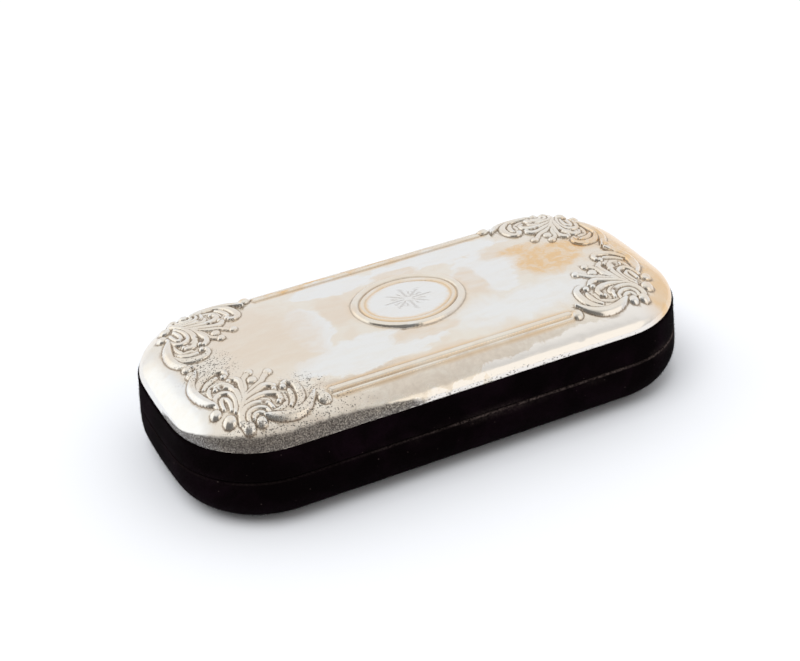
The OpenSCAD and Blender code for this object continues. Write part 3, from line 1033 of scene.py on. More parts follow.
@dataclass(frozen=True)
class SoftFill(Finish):
    """Undyed wadding or a resin filler: matt, lumpy and uneven in colour."""

    name: str = "cotton_wadding"
    slot: Slot = Slot.WADDING
    pale: Colour = (0.78, 0.75, 0.68)
    shade: Colour = (0.58, 0.53, 0.44)
    lump: float = 700.0
    depth: float = 0.2

    def dress(self, s: Surface) -> None:
        """Feeds the shader from lumps and fibres.

        Args:
            s: The surface to dress.
        """
        fibre, lumps = GRAIN.on(s, s.place, Stretch=(900, 900, 900), Cloud_Scale=self.lump)
        colour = s.mix(s.between(lumps, 0.3, 0.7), self.pale, self.shade)
        s.dress({"Base Color": colour, "Roughness": s.between(fibre, 0, 1, 0.75, 0.98)})
        s.bump(fibre + lumps, self.depth * MM)


SILVER = PressedSilver()
VELVET = Velvet()
SATIN = Satin()
PAD_SATIN = Satin("padded_satin", Slot.PAD_SATIN, (0.77, 0.70, 0.58), (0.64, 0.55, 0.43), 2900.0, 0.6)
STEEL = BareSteel()
HINGE_STEEL = BareSteel("plated_steel", Slot.HINGE_STEEL, (0.62, 0.60, 0.55), (0.42, 0.38, 0.33), 0.35, 0.26)
SPRING_STEEL = BareSteel("spring_wire", Slot.SPRING_STEEL, (0.30, 0.29, 0.29), (0.16, 0.15, 0.14), 0.2, 0.3)
WADDING = SoftFill()
FILLER = SoftFill("brown_filler", Slot.FILLER, (0.46, 0.31, 0.17), (0.30, 0.19, 0.10), 160.0, 0.05)


@dataclass(frozen=True)
class Piece:
    """A piece: its name, its finish, the half that it moves with and the CAD nodes it stands for."""

    name: str
    finish: Finish
    body: Body | None = None
    replaces: tuple[str, ...] = ()

    def make(self, bm: BMesh) -> Object:
        """Makes the piece's object.

        Args:
            bm: Its mesh, which is used up.

        Returns:
            The object.
        """
        mesh = as_mesh(self.name, bm)
        smooth(mesh)
        mesh.materials.append(self.finish.material())
        return link(self.name, mesh)

    def register(self, obj: Object) -> Object:
        """Tells the frame about the piece and reports it.

        Args:
            obj: Its object.

        Returns:
            The same object.
        """
        if self.body is not None:
            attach(obj, self.body.value)
        if self.replaces:
            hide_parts(*self.replaces)
        log.info("%s: %d faces", obj.name, len(obj.data.polygons))
        return obj

    def set_down(self, bm: BMesh) -> Object:
        """Makes the piece of a mesh and registers it."""
        return self.register(self.make(bm))


# Ornament

FAR = 9.0


def stroke(row: Sequence[float], flip: Callable[[Array], Array] | None = None) -> tuple[Array, float]:
    """Draws one scroll, flute, lobe, bead or cut.

    Args:
        row: Its height, then x, y and half width of each of its points.
        flip: Turns the points over, where it is given.

    Returns:
        Its rounded line and its height.
    """
    points = np.reshape(row[1:], (-1, 3)).astype(float)
    if flip is not None:
        points = flip(points)
    return (eased(points) if len(points) > 1 else np.vstack([points, points + (0.01, 0, 0)])), row[0]


@dataclass(frozen=True)
class Cartouche:
    """Scroll ornament of one corner, drawn for the corner with positive x and y.

    A row is a stroke's height, then x, y and half width of each point. The rows of both but the first
    are also turned over the corner's diagonal. A hole is x, y and radius.
    """

    offset: float = 42.6
    offset_slope: float = 0.2
    offset_at: float = 36.0
    breadth: float = 1.1
    both: Strokes = (
        (1.35, 42.2, 30.3, 1.9),
        (1.29, 43.9, 27.2, 0.55, 45.4, 28.9, 0.95, 47.2, 30.6, 1.25, 49.4, 31.8, 1.45, 51.8, 32.3, 1.5, 54.2,
         32.2, 1.5, 56.4, 31.7, 1.4, 58.3, 30.9, 1.15, 59.8, 30.1, 0.7),
        (0.99, 51.4, 31.2, 0.8, 49.6, 29.8, 1.05, 48.2, 27.8, 1.2, 47.5, 25.2, 1.25, 47.4, 22.9, 1.2, 48, 21,
         1.05, 49.3, 20, 0.9, 50.6, 20.3, 0.8),
        (1.03, 51, 21.4, 1.05),
        (0.65, 51.9, 29.2, 0.6, 50.7, 27.4, 0.85, 50.1, 25.2, 0.85, 50, 23.4, 0.6),
        (0.43, 57.6, 29.2, 0.4, 55.4, 29.1, 0.6, 53.5, 28.3, 0.7, 52.4, 26.6, 0.7, 52.1, 24.6, 0.55),
        (0.99, 63.4, 23.4, 0.8, 61.2, 22.6, 0.95, 58.8, 22, 1, 56.6, 22, 1.05, 54.7, 22.7, 1.05, 53.5, 24.1,
         1, 53.6, 25.8, 0.85),
        (0.95, 54.5, 26.5, 0.8),
        (0.69, 59.8, 23.9, 0.5, 58.2, 24, 0.7, 57.1, 24.9, 0.75, 57, 26.1, 0.6),
        (0.99, 63, 21.6, 0.8, 60.8, 20.6, 0.95, 58.3, 19.5, 1, 56.2, 18.6, 1.05, 54.3, 18.8, 1, 53.2, 20,
         0.9),
        (0.99, 53.6, 21.2, 0.85),
    )
    long_side: Strokes = (
        (1.3, 61.8, 31.3, 1.55),
        (1.4, 65.6, 31.3, 1.7),
        (0.69, 59.8, 30.4, 0.5, 60, 29, 0.65, 61.2, 28.1, 0.7, 62.7, 28.3, 0.7, 63.4, 29.6, 0.6),
        (0.86, 58.4, 29.6, 0.6, 58.7, 27.8, 0.7, 60.1, 26.6, 0.75, 62, 26.3, 0.8, 63.8, 27, 0.8, 64.7, 28.6,
         0.75, 64.8, 30.4, 0.65),
        (1.07, 57, 28.4, 0.65, 57.5, 26.3, 0.8, 59.2, 25, 0.9, 61.5, 24.5, 0.95, 63.9, 25, 1, 65.8, 26.6,
         1.05, 66.7, 28.7, 1.1, 66.3, 30.4, 1.1),
        (0.77, 61, 19.4, 0.6, 58.8, 18, 0.8, 56.7, 17, 0.85, 55.2, 16, 0.8, 54.2, 14.9, 0.85, 53.1, 13.9,
         0.95),
        (1.03, 52.2, 13.3, 1.3),
    )
    short_end: Strokes = (
        (1.45, 69.6, 26.8, 1.9),
        (1.25, 72, 22.3, 1.6),
        (0.77, 67.6, 23.6, 0.6, 67, 21.3, 0.75, 66.9, 19.3, 0.75, 67.6, 17.9, 0.75, 68.6, 18.3, 0.75, 69.1,
         19.9, 0.75, 69.3, 22, 0.6),
        (0.9, 66.9, 24.8, 0.65, 65.7, 22.2, 0.8, 65.1, 19.5, 0.8, 65.3, 17.2, 0.8, 66.5, 15.8, 0.85, 68.1,
         15.4, 0.85, 69.6, 16.3, 0.85, 70.5, 18.3, 0.8, 70.8, 20.7, 0.65),
        (0.99, 64.8, 23, 0.7, 63.7, 20.2, 0.9, 63.4, 17.2, 0.95, 64, 14.7, 0.95, 65.4, 13.1, 1, 67, 12.7,
         0.9),
        (0.77, 61.6, 18.6, 0.6, 60.6, 16.6, 0.8, 60.1, 14.5, 0.8, 59.6, 12.9, 0.8, 58.6, 11.8, 0.85, 57.7,
         11.1, 0.95),
        (1.03, 57.1, 10.7, 1.3),
        (0.95, 57.5, 14.4, 1.45),
        (0.99, 66.2, 26.2, 0.8, 64.7, 24, 0.95, 63.1, 21.8, 0.95, 61.4, 19.6, 0.8),
        (1.3, 71.4, 1.7, 1.6),
    )
    holes: Strokes = (
        (54.9, 24.4, 0.7), (55.6, 20.4, 0.75), (58.6, 25.4, 0.7),
        (49.3, 22.2, 0.7), (53.0, 26.9, 0.5), (57.4, 20.9, 0.5),
    )

    def flipped(self, points: Array) -> Array:
        """Points turned over the corner's diagonal."""
        k = self.offset - self.offset_slope * ((points[:, 0] + points[:, 1]) / 2 - self.offset_at)
        return np.column_stack([points[:, 1] + k, points[:, 0] - k, points[:, 2]])

    @cached_property
    def lines(self) -> list[tuple[Array, float]]:
        """Every rounded line of the corner with its height."""
        drawn = [stroke(row) for row in (*self.both, *self.long_side, *self.short_end)]
        drawn += [stroke(row, self.flipped) for row in self.both[1:]]
        return [(line * (1, 1, self.breadth), rise) for line, rise in drawn]

    def holed(self, x: Array, y: Array) -> Array:
        """Holes under the lobes' tips, which also take painted shade.

        Args:
            x: Places along the case.
            y: Places across the case.

        Returns:
            Shares from 0 to 1.
        """
        holes = np.array(self.holes)
        total = np.zeros(len(x))
        for cx, cy, r in np.vstack([holes, self.flipped(holes)]):
            total = np.maximum(total, np.exp(-(((x - cx) ** 2 + (y - cy) ** 2) / r**2) ** 1.5))
        return total


def measure(lines: Sequence[tuple[Array, float]], x: Array, y: Array, fall: float) -> tuple[Array, Array]:
    """Raises or cuts points along drawn lines.

    Args:
        lines: Lines of x, y and half width, each with its height.
        x: Places along the case.
        y: Places across the case.
        fall: Power that rounds a stroke's section: 0.5 is a half circle.

    Returns:
        Heights, and distances from the nearest line as shares of its half width.
    """
    height, near = np.zeros(len(x)), np.full(len(x), FAR)
    for line, rise in lines:
        reach = 2.2 * line[:, 2].max()
        low, high = line[:, :2].min(0) - reach, line[:, :2].max(0) + reach
        at = np.nonzero((x > low[0]) & (x < high[0]) & (y > low[1]) & (y < high[1]))[0]
        if not len(at):
            continue
        a, run = line[:-1], np.diff(line, axis=0)
        px, py = x[at, None] - a[:, 0], y[at, None] - a[:, 1]
        t = np.clip((px * run[:, 0] + py * run[:, 1]) / (run[:, 0] ** 2 + run[:, 1] ** 2), 0, 1)
        off = np.hypot(px - t * run[:, 0], py - t * run[:, 1]) / (a[:, 2] + t * run[:, 2])
        off = off.min(axis=1)
        further = np.maximum if rise > 0 else np.minimum
        height[at] = further(height[at], rise * np.maximum(1 - off * off, 0) ** fall)
        near[at] = np.minimum(near[at], off)
    return height, near


@dataclass(frozen=True)
class Medallion:
    """Oval medallion: a broad rolled ring, a groove, a thin ring and a plaque with a rosette."""

    half_length: float = 18.1
    half_width: float = 15.0
    end_r: float = 12.8
    centre_y: float = 0.6
    ring_w: float = 2.5
    groove_w: float = 0.35
    thin_w: float = 1.35
    slope_w: float = 2.0
    ring_h: float = 0.85
    thin_h: float = 0.42
    floor_h: float = 0.22
    plaque_h: float = 0.4
    cut: float = 0.07
    level: float = 0.55
    long_petal: Strokes = ((1.1, 0.12), (3.4, 0.52), (5.9, 0.12))
    short_petal: Strokes = ((2.6, 0.1), (3.5, 0.3), (4.4, 0.1))
    stretch: float = 1.25

    def inset(self, x: Array, y: Array) -> Array:
        """Distance in from the medallion's edge.

        Args:
            x: Places along the case.
            y: Places across the case.

        Returns:
            Distances, below nought outside.
        """
        x, y = np.abs(x), np.abs(y - self.centre_y)
        end_c = self.half_length - self.end_r
        side_r = (self.half_width**2 + end_c**2 - self.end_r**2) / (2 * (self.half_width - self.end_r))
        side_c = side_r - self.half_width
        at_end = (x - end_c) * side_c > y * end_c
        return np.where(at_end, self.end_r - np.hypot(x - end_c, y), side_r - np.hypot(x, y + side_c))

    def height(self, d: Array) -> Array:
        """Height of the medallion above the dome.

        Args:
            d: Distances in from its edge.

        Returns:
            Heights in millimetres.
        """
        half, thin_half = self.ring_w / 2, self.thin_w / 2
        ring = self.ring_h * np.maximum(1 - np.abs((d - half) / half) ** 2.2, 0) ** 0.75
        thin_mid = self.ring_w + self.groove_w + thin_half
        thin = self.floor_h + self.thin_h * np.maximum(1 - ((d - thin_mid) / thin_half) ** 2, 0) ** 0.5
        start = thin_mid + thin_half
        rise = self.plaque_h - self.floor_h
        plaque = self.floor_h + rise * smoothstep(d, start, start + self.slope_w)
        inner = np.where(d < start, np.where(d < self.ring_w, 0, thin), plaque)
        floor = self.floor_h * smoothstep(d, half, self.ring_w)
        return np.where(d < 0, 0, np.maximum(np.maximum(ring, floor), inner))

    @cached_property
    def rosette(self) -> list[tuple[Array, float]]:
        """Engraved rosette: eight long petals and eight short ones between them."""
        marks = []
        for k in range(8):
            for turn, petal in ((0.0, self.long_petal), (0.5, self.short_petal)):
                a = (k + turn) * math.pi / 4
                row = [-self.cut]
                for r, wide in petal:
                    row += [self.stretch * r * math.cos(a), self.centre_y + r * math.sin(a), wide]
                marks.append(stroke(row))
        return marks


def trim(bm: BMesh) -> None:
    """Takes out faces that lie on each other, and flaps that hang on by one edge.

    Args:
        bm: The mesh, with its vertices numbered.
    """
    seen, twice = set(), []
    for face in bm.faces:
        corners = frozenset(v.index for v in face.verts)
        if corners in seen:
            twice.append(face)
        seen.add(corners)
    bmesh.ops.delete(bm, geom=twice, context="FACES")
    while loose := [f for f in bm.faces if any(len(e.link_faces) == 1 for e in f.edges)]:
        bmesh.ops.delete(bm, geom=loose, context="FACES")


@dataclass
class PressedPlate:
    """The pressed plate over the lid, with corner scrolls, ribs and the medallion in one sheet.

    A rib is its place, half width and height. A dent is x, y, its two radii and its depth. Longest edges and
    shares of painted relief shading (shade in valleys, highlights on crests) follow the order of Ground.
    """

    dome: Dome = field(default_factory=lambda: Dome(LOOKS))
    cartouche: Cartouche = field(default_factory=Cartouche)
    medallion: Medallion = field(default_factory=Medallion)
    thickness: float = 0.6
    rib_half: float = 39.0
    ribs: Strokes = ((28.45, 1.05, 0.7), (30.6, 0.6, 0.42))
    wobble: float = 0.2
    hole_depth: float = 0.5
    corner_shifts: Strokes = ((0.1, 0.3), (-1.0, -0.7), (0.0, 0.0), (-0.4, -0.2))
    dents: Strokes = (
        (38.6, -36.9, 0.9, 0.7, 0.35),
        (-3.3, -30.1, 0.7, 0.5, 0.22),
        (-7.8, -12.9, 2.2, 0.7, 0.25),
        (-30.0, -35.5, 6.0, 1.6, 0.12),
        (14.0, -35.0, 5.0, 1.4, 0.12),
        (55.0, -34.5, 4.0, 2.0, 0.12),
    )
    lip: Strokes = ((0, 25.6), (0.06, 25.42), (0.3, 25.34), (0.54, 25.42))
    longest_edge: tuple[float, ...] = (FAR, 0.3, 0.31, 0.45, 0.2)
    # Shares of painted shade and highlight from the valley depth, by ground.
    relief_shading: tuple[float, ...] = (0.0, 1.0, 0.55, 0.35, 0.55)
    valley_depth: float = 0.25

    def relief(self, x: Array, y: Array) -> tuple[Array, Array, Array, Array]:
        """Relief of the plate over its dome.

        Args:
            x: Places along the case.
            y: Places across the case.

        Returns:
            Heights, shares of painted shade in the holes, the engraved lines and at the feet of the rings and
            ribs, shares of warm tarnish, and the kind of ground.
        """
        flat = np.column_stack([x, y])
        wx = x + self.wobble * ripple(flat, 30, 5)
        wy = y + self.wobble * ripple(flat, 34, 6)
        right, rear = smoothstep(x, -6, 6)[:, None], smoothstep(y, -6, 6)[:, None]
        shifts = np.array(self.corner_shifts)
        front = shifts[0] * (1 - right) + shifts[1] * right
        shift = front * (1 - rear) + (shifts[2] * (1 - right) + shifts[3] * right) * rear
        cx, cy = np.abs(wx) - shift[:, 0], np.abs(wy) - shift[:, 1]
        raised, near = measure(self.cartouche.lines, cx, cy, 0.58)
        holed = self.cartouche.holed(cx, cy)
        raised -= self.hole_depth * holed
        along = np.maximum(np.abs(x) - self.rib_half, 0)
        ribs, at_rib = np.zeros(len(x)), np.full(len(x), FAR)
        for place, width, rise in self.ribs:
            off = np.hypot(np.abs(y) - place, along) / width
            ribs = np.maximum(ribs, rise * np.maximum(1 - off * off, 0) ** 0.6)
            at_rib = np.minimum(at_rib, off)
        d = self.medallion.inset(x, y)
        lift = self.medallion.level * (self.dome.top_z - self.dome.height(x, y))
        medal = self.medallion.height(d) + lift * smoothstep(d, 0, 0.5)
        cut, at_cut = measure(self.medallion.rosette, x, y, 0.7)
        height = np.maximum(raised, ribs) + medal + cut
        for dx, dy, rx, ry, depth in self.dents:
            off = np.hypot((x - dx) / rx, (y - dy) / ry)
            height -= depth * np.exp(-off * off * 2)
        ground = np.zeros(len(x), int)
        ground[near < 1.45] = Ground.SCROLL
        ground[(d > -0.9) & (d < 5.2)] = Ground.RING
        ground[at_rib < 1.5] = Ground.RIB
        ground[at_cut < 1.4] = Ground.CUT
        # Painted shade at the feet of the medallion's rings and of the ribs, in the holes and in the engraved
        # lines.
        ring_foot = 0.5 * bell(d, -0.1, 0.18) + 0.5 * bell(d, self.medallion.ring_w, 0.2)
        rib_shade_share = np.where(y < 0, 0.12 + 0.5 * smoothstep(x, 0, -24), 0.5)
        rib_foot = rib_shade_share * smoothstep(at_rib, 1.5, 1.05) * smoothstep(at_rib, 0.8, 1.0)
        engraved = 0.3 * smoothstep(at_cut, 1.1, 0.5)
        warm = 0.9 * bell(d, 2.75, 0.36) + 0.85 * bell(d, 4.6, 0.5) + 0.2 * (d > 2.6) * (d < 4.6)
        warm += 0.25 * bell(d, -0.5, 0.9)
        warm += 0.8 * smoothstep(at_rib, 2.6, 1.2) * smoothstep(at_rib, 0.5, 1.0)
        return height, holed + ring_foot + rib_foot + engraved, np.clip(warm, 0, 1), ground

    def refine(self, bm: BMesh, passes: int = 4) -> None:
        """Halves the edges that are too long for the relief around them.

        Args:
            bm: The plate's outer face, in triangles.
            passes: Number of times to look at every edge.
        """
        for _ in range(passes):
            bm.verts.index_update()
            bm.edges.ensure_lookup_table()
            place, ends = places(bm), edge_ends(bm)
            middle = place[ends].mean(axis=1)
            run = np.abs(place[ends[:, 0]] - place[ends[:, 1]])
            ground = self.relief(middle[:, 0], middle[:, 1])[3]
            length = np.hypot(run[:, 0] * np.where(ground == Ground.RIB, 0.2, 1), run[:, 1])
            long = np.nonzero(length > np.array(self.longest_edge)[ground] * 1.25)[0]
            log.info("plate: %d of %d edges to halve", len(long), len(ends))
            if not len(long):
                break
            bmesh.ops.subdivide_edges(bm, edges=[bm.edges[k] for k in long], cuts=1, use_grid_fill=False)
            bmesh.ops.triangulate(bm, faces=[f for f in bm.faces if len(f.verts) > 3])

    @staticmethod
    def hollows(bm: BMesh, place: Array, height: Array, rounds: int = 12) -> tuple[Array, Array]:
        """Finds the grooves and the low ground of the relief.

        Args:
            bm: The plate's outer face, in triangles.
            place: Its vertices.
            height: Height of the relief at each vertex.
            rounds: Number of times to even out the heights.

        Returns:
            Half the mean curvature in 1/mm, above nought in grooves, and the depth in millimetres below
            the relief around, below nought on crests.
        """
        bm.verts.index_update()
        a, b = edge_ends(bm).T
        count = len(place)
        squared = ((place[a, :2] - place[b, :2]) ** 2).sum(axis=1)
        rise = height[b] - height[a]
        total = np.bincount(a, rise, count) + np.bincount(b, -rise, count)
        groove = total / (np.bincount(a, squared, count) + np.bincount(b, squared, count))
        links = np.bincount(a, minlength=count) + np.bincount(b, minlength=count)
        evened = height
        for _ in range(rounds):
            around = (np.bincount(a, evened[b], count) + np.bincount(b, evened[a], count)) / links
            evened = (evened + around) / 2
        return groove, evened - height

    def build(self) -> Object:
        """Makes the plate as one closed sheet."""
        bm = loft(self.dome.rows(0, 8, 1.05))
        bmesh.ops.triangulate(bm, faces=bm.faces[:])
        self.refine(bm)
        place = places(bm)
        x, y = place[:, 0], place[:, 1]
        height, hollow, warm, ground = self.relief(x, y)
        groove, valley = self.hollows(bm, place, height)
        # Painted shade goes into the grooves, away from the ring and the ribs, whose feet have their own painted
        # shade.
        plain = smoothstep(np.abs(self.medallion.inset(x, y) - 2.2), 3.4, 4.2)
        plain *= np.maximum(smoothstep(np.abs(np.abs(y) - 29.3), 2.4, 3.0), smoothstep(np.abs(x), 39.5, 41))
        hollow = np.clip(hollow + plain * smoothstep(groove, 0.15, 1.1), 0, 1)
        # Valley depth drives painted shade in the valleys and painted highlights on the crests, scaled by ground.
        valley = np.clip(valley / self.valley_depth, -1, 1) * np.array(self.relief_shading)[ground]
        inside = self.dome.outline.inset(x, y)
        dome = np.where(inside > 1.0, self.dome.height(x, y), place[:, 2])
        place[:, 2] = dome + height * smoothstep(inside, 0.2, 1.2)
        move_to(bm, place)
        # Grime keeps to the front left edge, and warm tarnish to the right end.
        reach = 0.7 + 3.1 * smoothstep(x, -8, -44) * smoothstep(y, -16, -33)
        rim = smoothstep(inside / reach, 1.0, 0.0) * smoothstep(x, -8, -24) * smoothstep(y, 0, -12)
        end = 0.95 * smoothstep(inside, 8, 4) * smoothstep(x, 60, 73) * smoothstep(y, 30, 10)
        values = {"hollow": hollow, "warm": np.maximum(warm, end), "rim": rim, "valley": valley}
        for name, shares in values.items():
            layer = bm.verts.layers.float.new(name)
            for vertex, share in zip(bm.verts, shares.tolist()):
                vertex[layer] = share
        lip = [self.dome.outline.ring.row(d, z) for d, z in self.lip]
        under = loft(lip + self.dome.rows(self.thickness, 4, 3.5))
        bmesh.ops.reverse_faces(under, faces=under.faces[:])
        take(bm, as_mesh("under", under))
        merge(bm)
        bm.verts.index_update()
        trim(bm)
        return Piece("pressed_plate", SILVER, Body.LID, ("silver_plate",)).set_down(bm)


# Velvet, satin and wadding


def closed_layer(piece: Piece, faces: Sequence[list[Array]], uneven: float) -> Object:
    """Closes two faces of a layer at their edge and makes the piece.

    Args:
        piece: The piece to make.
        faces: Loops of the outer and the inner face, from the edge inwards.
        uneven: How far its surface wanders, in millimetres.

    Returns:
        The piece.
    """
    outer, inner = faces
    bm = welded(loft(outer), loft(inner), loft([outer[0], inner[0]]))
    place = places(bm)
    move_to(bm, place + uneven * wander(place, 14, 20))
    return piece.set_down(bm)


@dataclass(frozen=True)
class HingeRoom:
    """Room that the covers leave for the knuckles at the back, as its two far corners."""

    low: tuple[float, float, float] = (-31.0, 37.3, 14.2)
    high: tuple[float, float, float] = (31.0, 42.5, 18.0)

    def cut(self, obj: Object) -> None:
        """Cuts the room out of a cover's mesh.

        Args:
            obj: The cover.
        """
        low, high = np.array(self.low), np.array(self.high)
        bm = bmesh.new()
        bmesh.ops.create_cube(bm, size=1)
        size = Matrix.Diagonal((*((high - low) * MM), 1))
        bm.transform(Matrix.Translation(Vector((high + low) / 2) * MM) @ size)
        cutter = link("room", as_mesh("room", bm))
        cut = obj.modifiers.new("room", "BOOLEAN")
        cut.operation, cut.solver, cut.object = "DIFFERENCE", "EXACT", cutter
        bake(obj)
        bpy.data.objects.remove(cutter)


def velvet_cover(piece: Piece, bm: BMesh) -> Object:
    """Makes a closed velvet cover uneven and cuts the room for the hinge.

    Args:
        piece: The piece to make.
        bm: Its mesh.

    Returns:
        The cover.
    """
    place = places(bm)
    free = smoothstep(place[:, 2], 0.3, 3.0)[:, None]
    move_to(bm, place + 0.09 * free * wander(place, 16, 40) * (1, 1, 0.3))
    cover = piece.make(bm)
    HingeRoom().cut(cover)
    return piece.register(cover)


@dataclass
class BaseLayers:
    """The base's bowl-shaped layers. Depths are counted in from the velvet's outer face."""

    base_out: float = 1.3
    foot_r: float = 10.3
    top_z: float = 15.95
    velvet_t: float = 0.8
    turn_t: float = 0.4
    mouth_in: float = 1.9
    drawn_in: float = 0.3
    mouth_r: float = 0.4
    lining_depths: tuple[float, float] = (3.27, 4.03)
    wadding_depths: tuple[float, float] = (0.9, 2.5)
    wadding_top: float = 15.3

    def rows(
        self, ring: Ring, depth: float, top_z: float, foot_steps: int = 12, spine_steps: int = 12
    ) -> list[Array]:
        """Loops of one face of a layer, from its upper edge to the middle of the bottom.

        Args:
            ring: Outline that it follows.
            depth: Depth of the face.
            top_z: Height of its upper edge.
            foot_steps: Loops around the rounded foot.
            spine_steps: Loops over the flat bottom.

        Returns:
            The loops.
        """
        foot_in, r = self.foot_r - self.base_out, self.foot_r - depth
        side = []
        for z in np.linspace(top_z, self.foot_r, 7)[:-1]:
            share = max(z - self.foot_r, 0) / (self.top_z - self.foot_r)
            rounded = self.drawn_in * share**2 if depth < 1 else 0
            side.append(ring.row(depth - self.base_out + rounded, z))
        foot = [
            ring.row(foot_in - r * math.cos(a), self.foot_r - r * math.sin(a))
            for a in np.linspace(0, QUARTER, foot_steps)
        ]
        return side + foot + to_spine(foot[-1], spine_steps, level(depth))

    def velvet(self) -> Object:
        """Velvet cover of the base, turned over the mouth."""
        ring, mouth = LOOKS.ring, SHELLS.ring
        turn_in = self.velvet_t - self.base_out
        r, edge_in = self.mouth_r, self.mouth_r - self.base_out + self.drawn_in
        turned = [
            ring.row(edge_in - r * math.sin(a), self.top_z - r * (1 - math.cos(a)))
            for a in np.linspace(0, QUARTER, 6)[:-1]
        ]
        outer = [mouth.row(self.mouth_in, self.top_z)] + turned + self.rows(ring, 0, self.top_z - r)
        turned_z = self.top_z - self.turn_t
        inner = [mouth.row(self.mouth_in, turned_z), ring.row(turn_in + 0.02, turned_z)]
        inner += self.rows(ring, self.velvet_t, self.top_z - self.velvet_t)
        bm = welded(loft(outer), loft(inner), loft([inner[0], outer[0]]))
        return velvet_cover(Piece("base_velvet_cover", VELVET, Body.BASE, ("base_velvet",)), bm)

    def lining(self) -> Object:
        """Satin lining on its card."""
        faces = [self.rows(SHELLS.ring, depth, self.top_z) for depth in self.lining_depths]
        return closed_layer(Piece("base_satin_lining", SATIN, Body.BASE, ("base_lining",)), faces, 0.05)

    def wadding(self) -> Object:
        """Wadding between shell and velvet."""
        rings = zip((LOOKS.ring, SHELLS.ring), self.wadding_depths)
        faces = [self.rows(ring, depth, self.wadding_top, 8, 6) for ring, depth in rings]
        return closed_layer(Piece("base_soft_layer", WADDING, Body.BASE, ("base_wadding",)), faces, 0.02)


@dataclass
class LidLayers:
    """The lid's layers under the plate. Insets are counted in from the plate's outline."""

    dome: Dome = field(default_factory=lambda: Dome(SHELLS))
    lid_out: float = 0.5
    low_out: float = 0.95
    mouth_r: float = 0.4
    low_z: float = 16.2
    velvet_top: float = 25.5
    velvet_t: float = 0.8
    turn_t: float = 0.4
    mouth_in: float = 1.9
    lining_depths: tuple[float, float] = (1.97, 2.73)
    wadding_insets: tuple[float, float] = (0.35, 1.22)
    wadding_z: tuple[float, float] = (17.2, 25.3)

    def velvet(self) -> Object:
        """Velvet band around the lid, tucked under the plate."""
        ring, mouth = LOOKS.ring, SHELLS.ring
        t, out, r, top = self.velvet_t, self.lid_out, self.mouth_r, self.velvet_top
        outer = [mouth.row(self.mouth_in, self.low_z)]
        for a in np.linspace(0, QUARTER, 6)[:-1]:
            outer.append(ring.row(r - self.low_out - r * math.sin(a), self.low_z + r * (1 - math.cos(a))))
        for z in np.linspace(self.low_z + r, top - 0.35, 9):
            outer.append(ring.row(-out - (self.low_out - out) * float(smoothstep(z, 23.5, 17.0)), z))
        outer += [ring.row(-out + 0.12, top - 0.1), ring.row(-out + 0.4, top), ring.row(t - out, top)]
        inner = [ring.row(t - out, z) for z in np.linspace(top, self.low_z + t, 5)[1:]]
        turned_z = self.low_z + self.turn_t
        inner += [ring.row(t - out + 0.02, turned_z), mouth.row(self.mouth_in, turned_z)]
        bm = welded(loft(outer + inner), loft([inner[-1], outer[0]]))
        return velvet_cover(Piece("lid_velvet_band", VELVET, Body.LID, ("lid_velvet",)), bm)

    def lining(self) -> Object:
        """Satin lining on its card."""
        ring, faces = self.dome.outline.ring, []
        for depth in self.lining_depths:
            wall = [ring.row(depth, z) for z in np.linspace(self.low_z, self.dome.rim_z, 5)[:-1]]
            faces.append(wall + self.dome.rows(depth, 5, 2.0))
        return closed_layer(Piece("lid_satin_lining", SATIN, Body.LID, ("lid_lining",)), faces, 0.05)

    def wadding(self) -> Object:
        """Wadding behind the velvet band."""
        (low, high), (outer_in, inner_in) = self.wadding_z, self.wadding_insets
        outer = [LOOKS.ring.row(outer_in, z) for z in np.linspace(high, low, 4)]
        inner = [SHELLS.ring.row(inner_in, z) for z in np.linspace(low, high, 4)]
        bm = loft(outer + inner, wrap=True)
        face_out(bm)
        return Piece("lid_soft_layer", WADDING, Body.LID, ("lid_wadding",)).set_down(bm)


@dataclass
class Pad:
    """A padded satin panel with a rounded edge, a crowned face and soft creases."""

    piece: Piece
    inset: float
    back: Callable[[Array, Array], Array]
    way: int
    thickness: float = 2.0
    crown: float = 0.5
    crease: float = 0.22
    fill: float = 0.45

    def build(self) -> Object:
        """Makes the panel on its backing surface."""
        ring, half = SHELLS.ring, self.thickness / 2
        front, rear = [], []
        for a in np.linspace(QUARTER, 0, 7):
            inset, lift = self.inset + half * (1 - math.sin(a)) * 1.6, half * math.cos(a)
            flat = ring.row(inset, 0)[:, :2]
            base = self.back(flat[:, 0], flat[:, 1])
            front.append(np.column_stack([flat, base + self.way * (half + lift)]))
            rear.append(np.column_stack([flat, base + self.way * (half - lift)]))
        face = front + to_spine(front[-1], 26, lambda x, y: self.back(x, y) + self.way * self.thickness)
        behind = rear[1:] + to_spine(rear[-1], 8, self.back)
        bm = loft(behind[::-1] + face)
        face_out(bm)
        place = places(bm)
        x, y = place[:, 0], place[:, 1]
        inward = SHELLS.inset(x, y) - self.inset
        upper = smoothstep((place[:, 2] - self.back(x, y)) * self.way / self.thickness, 0.55, 0.95)
        rise = self.crown * smoothstep(inward, 1, 16) - 0.25 * (1 - smoothstep(inward, 0, 5))
        drawn = np.column_stack([x * 0.35, y])
        folds = self.crease * ripple(drawn, 7, 71) * ripple(place[:, :2], 30, 72)
        place[:, 2] += self.way * (rise + folds) * upper
        move_to(bm, place)
        pad = self.piece.set_down(bm)
        return pad


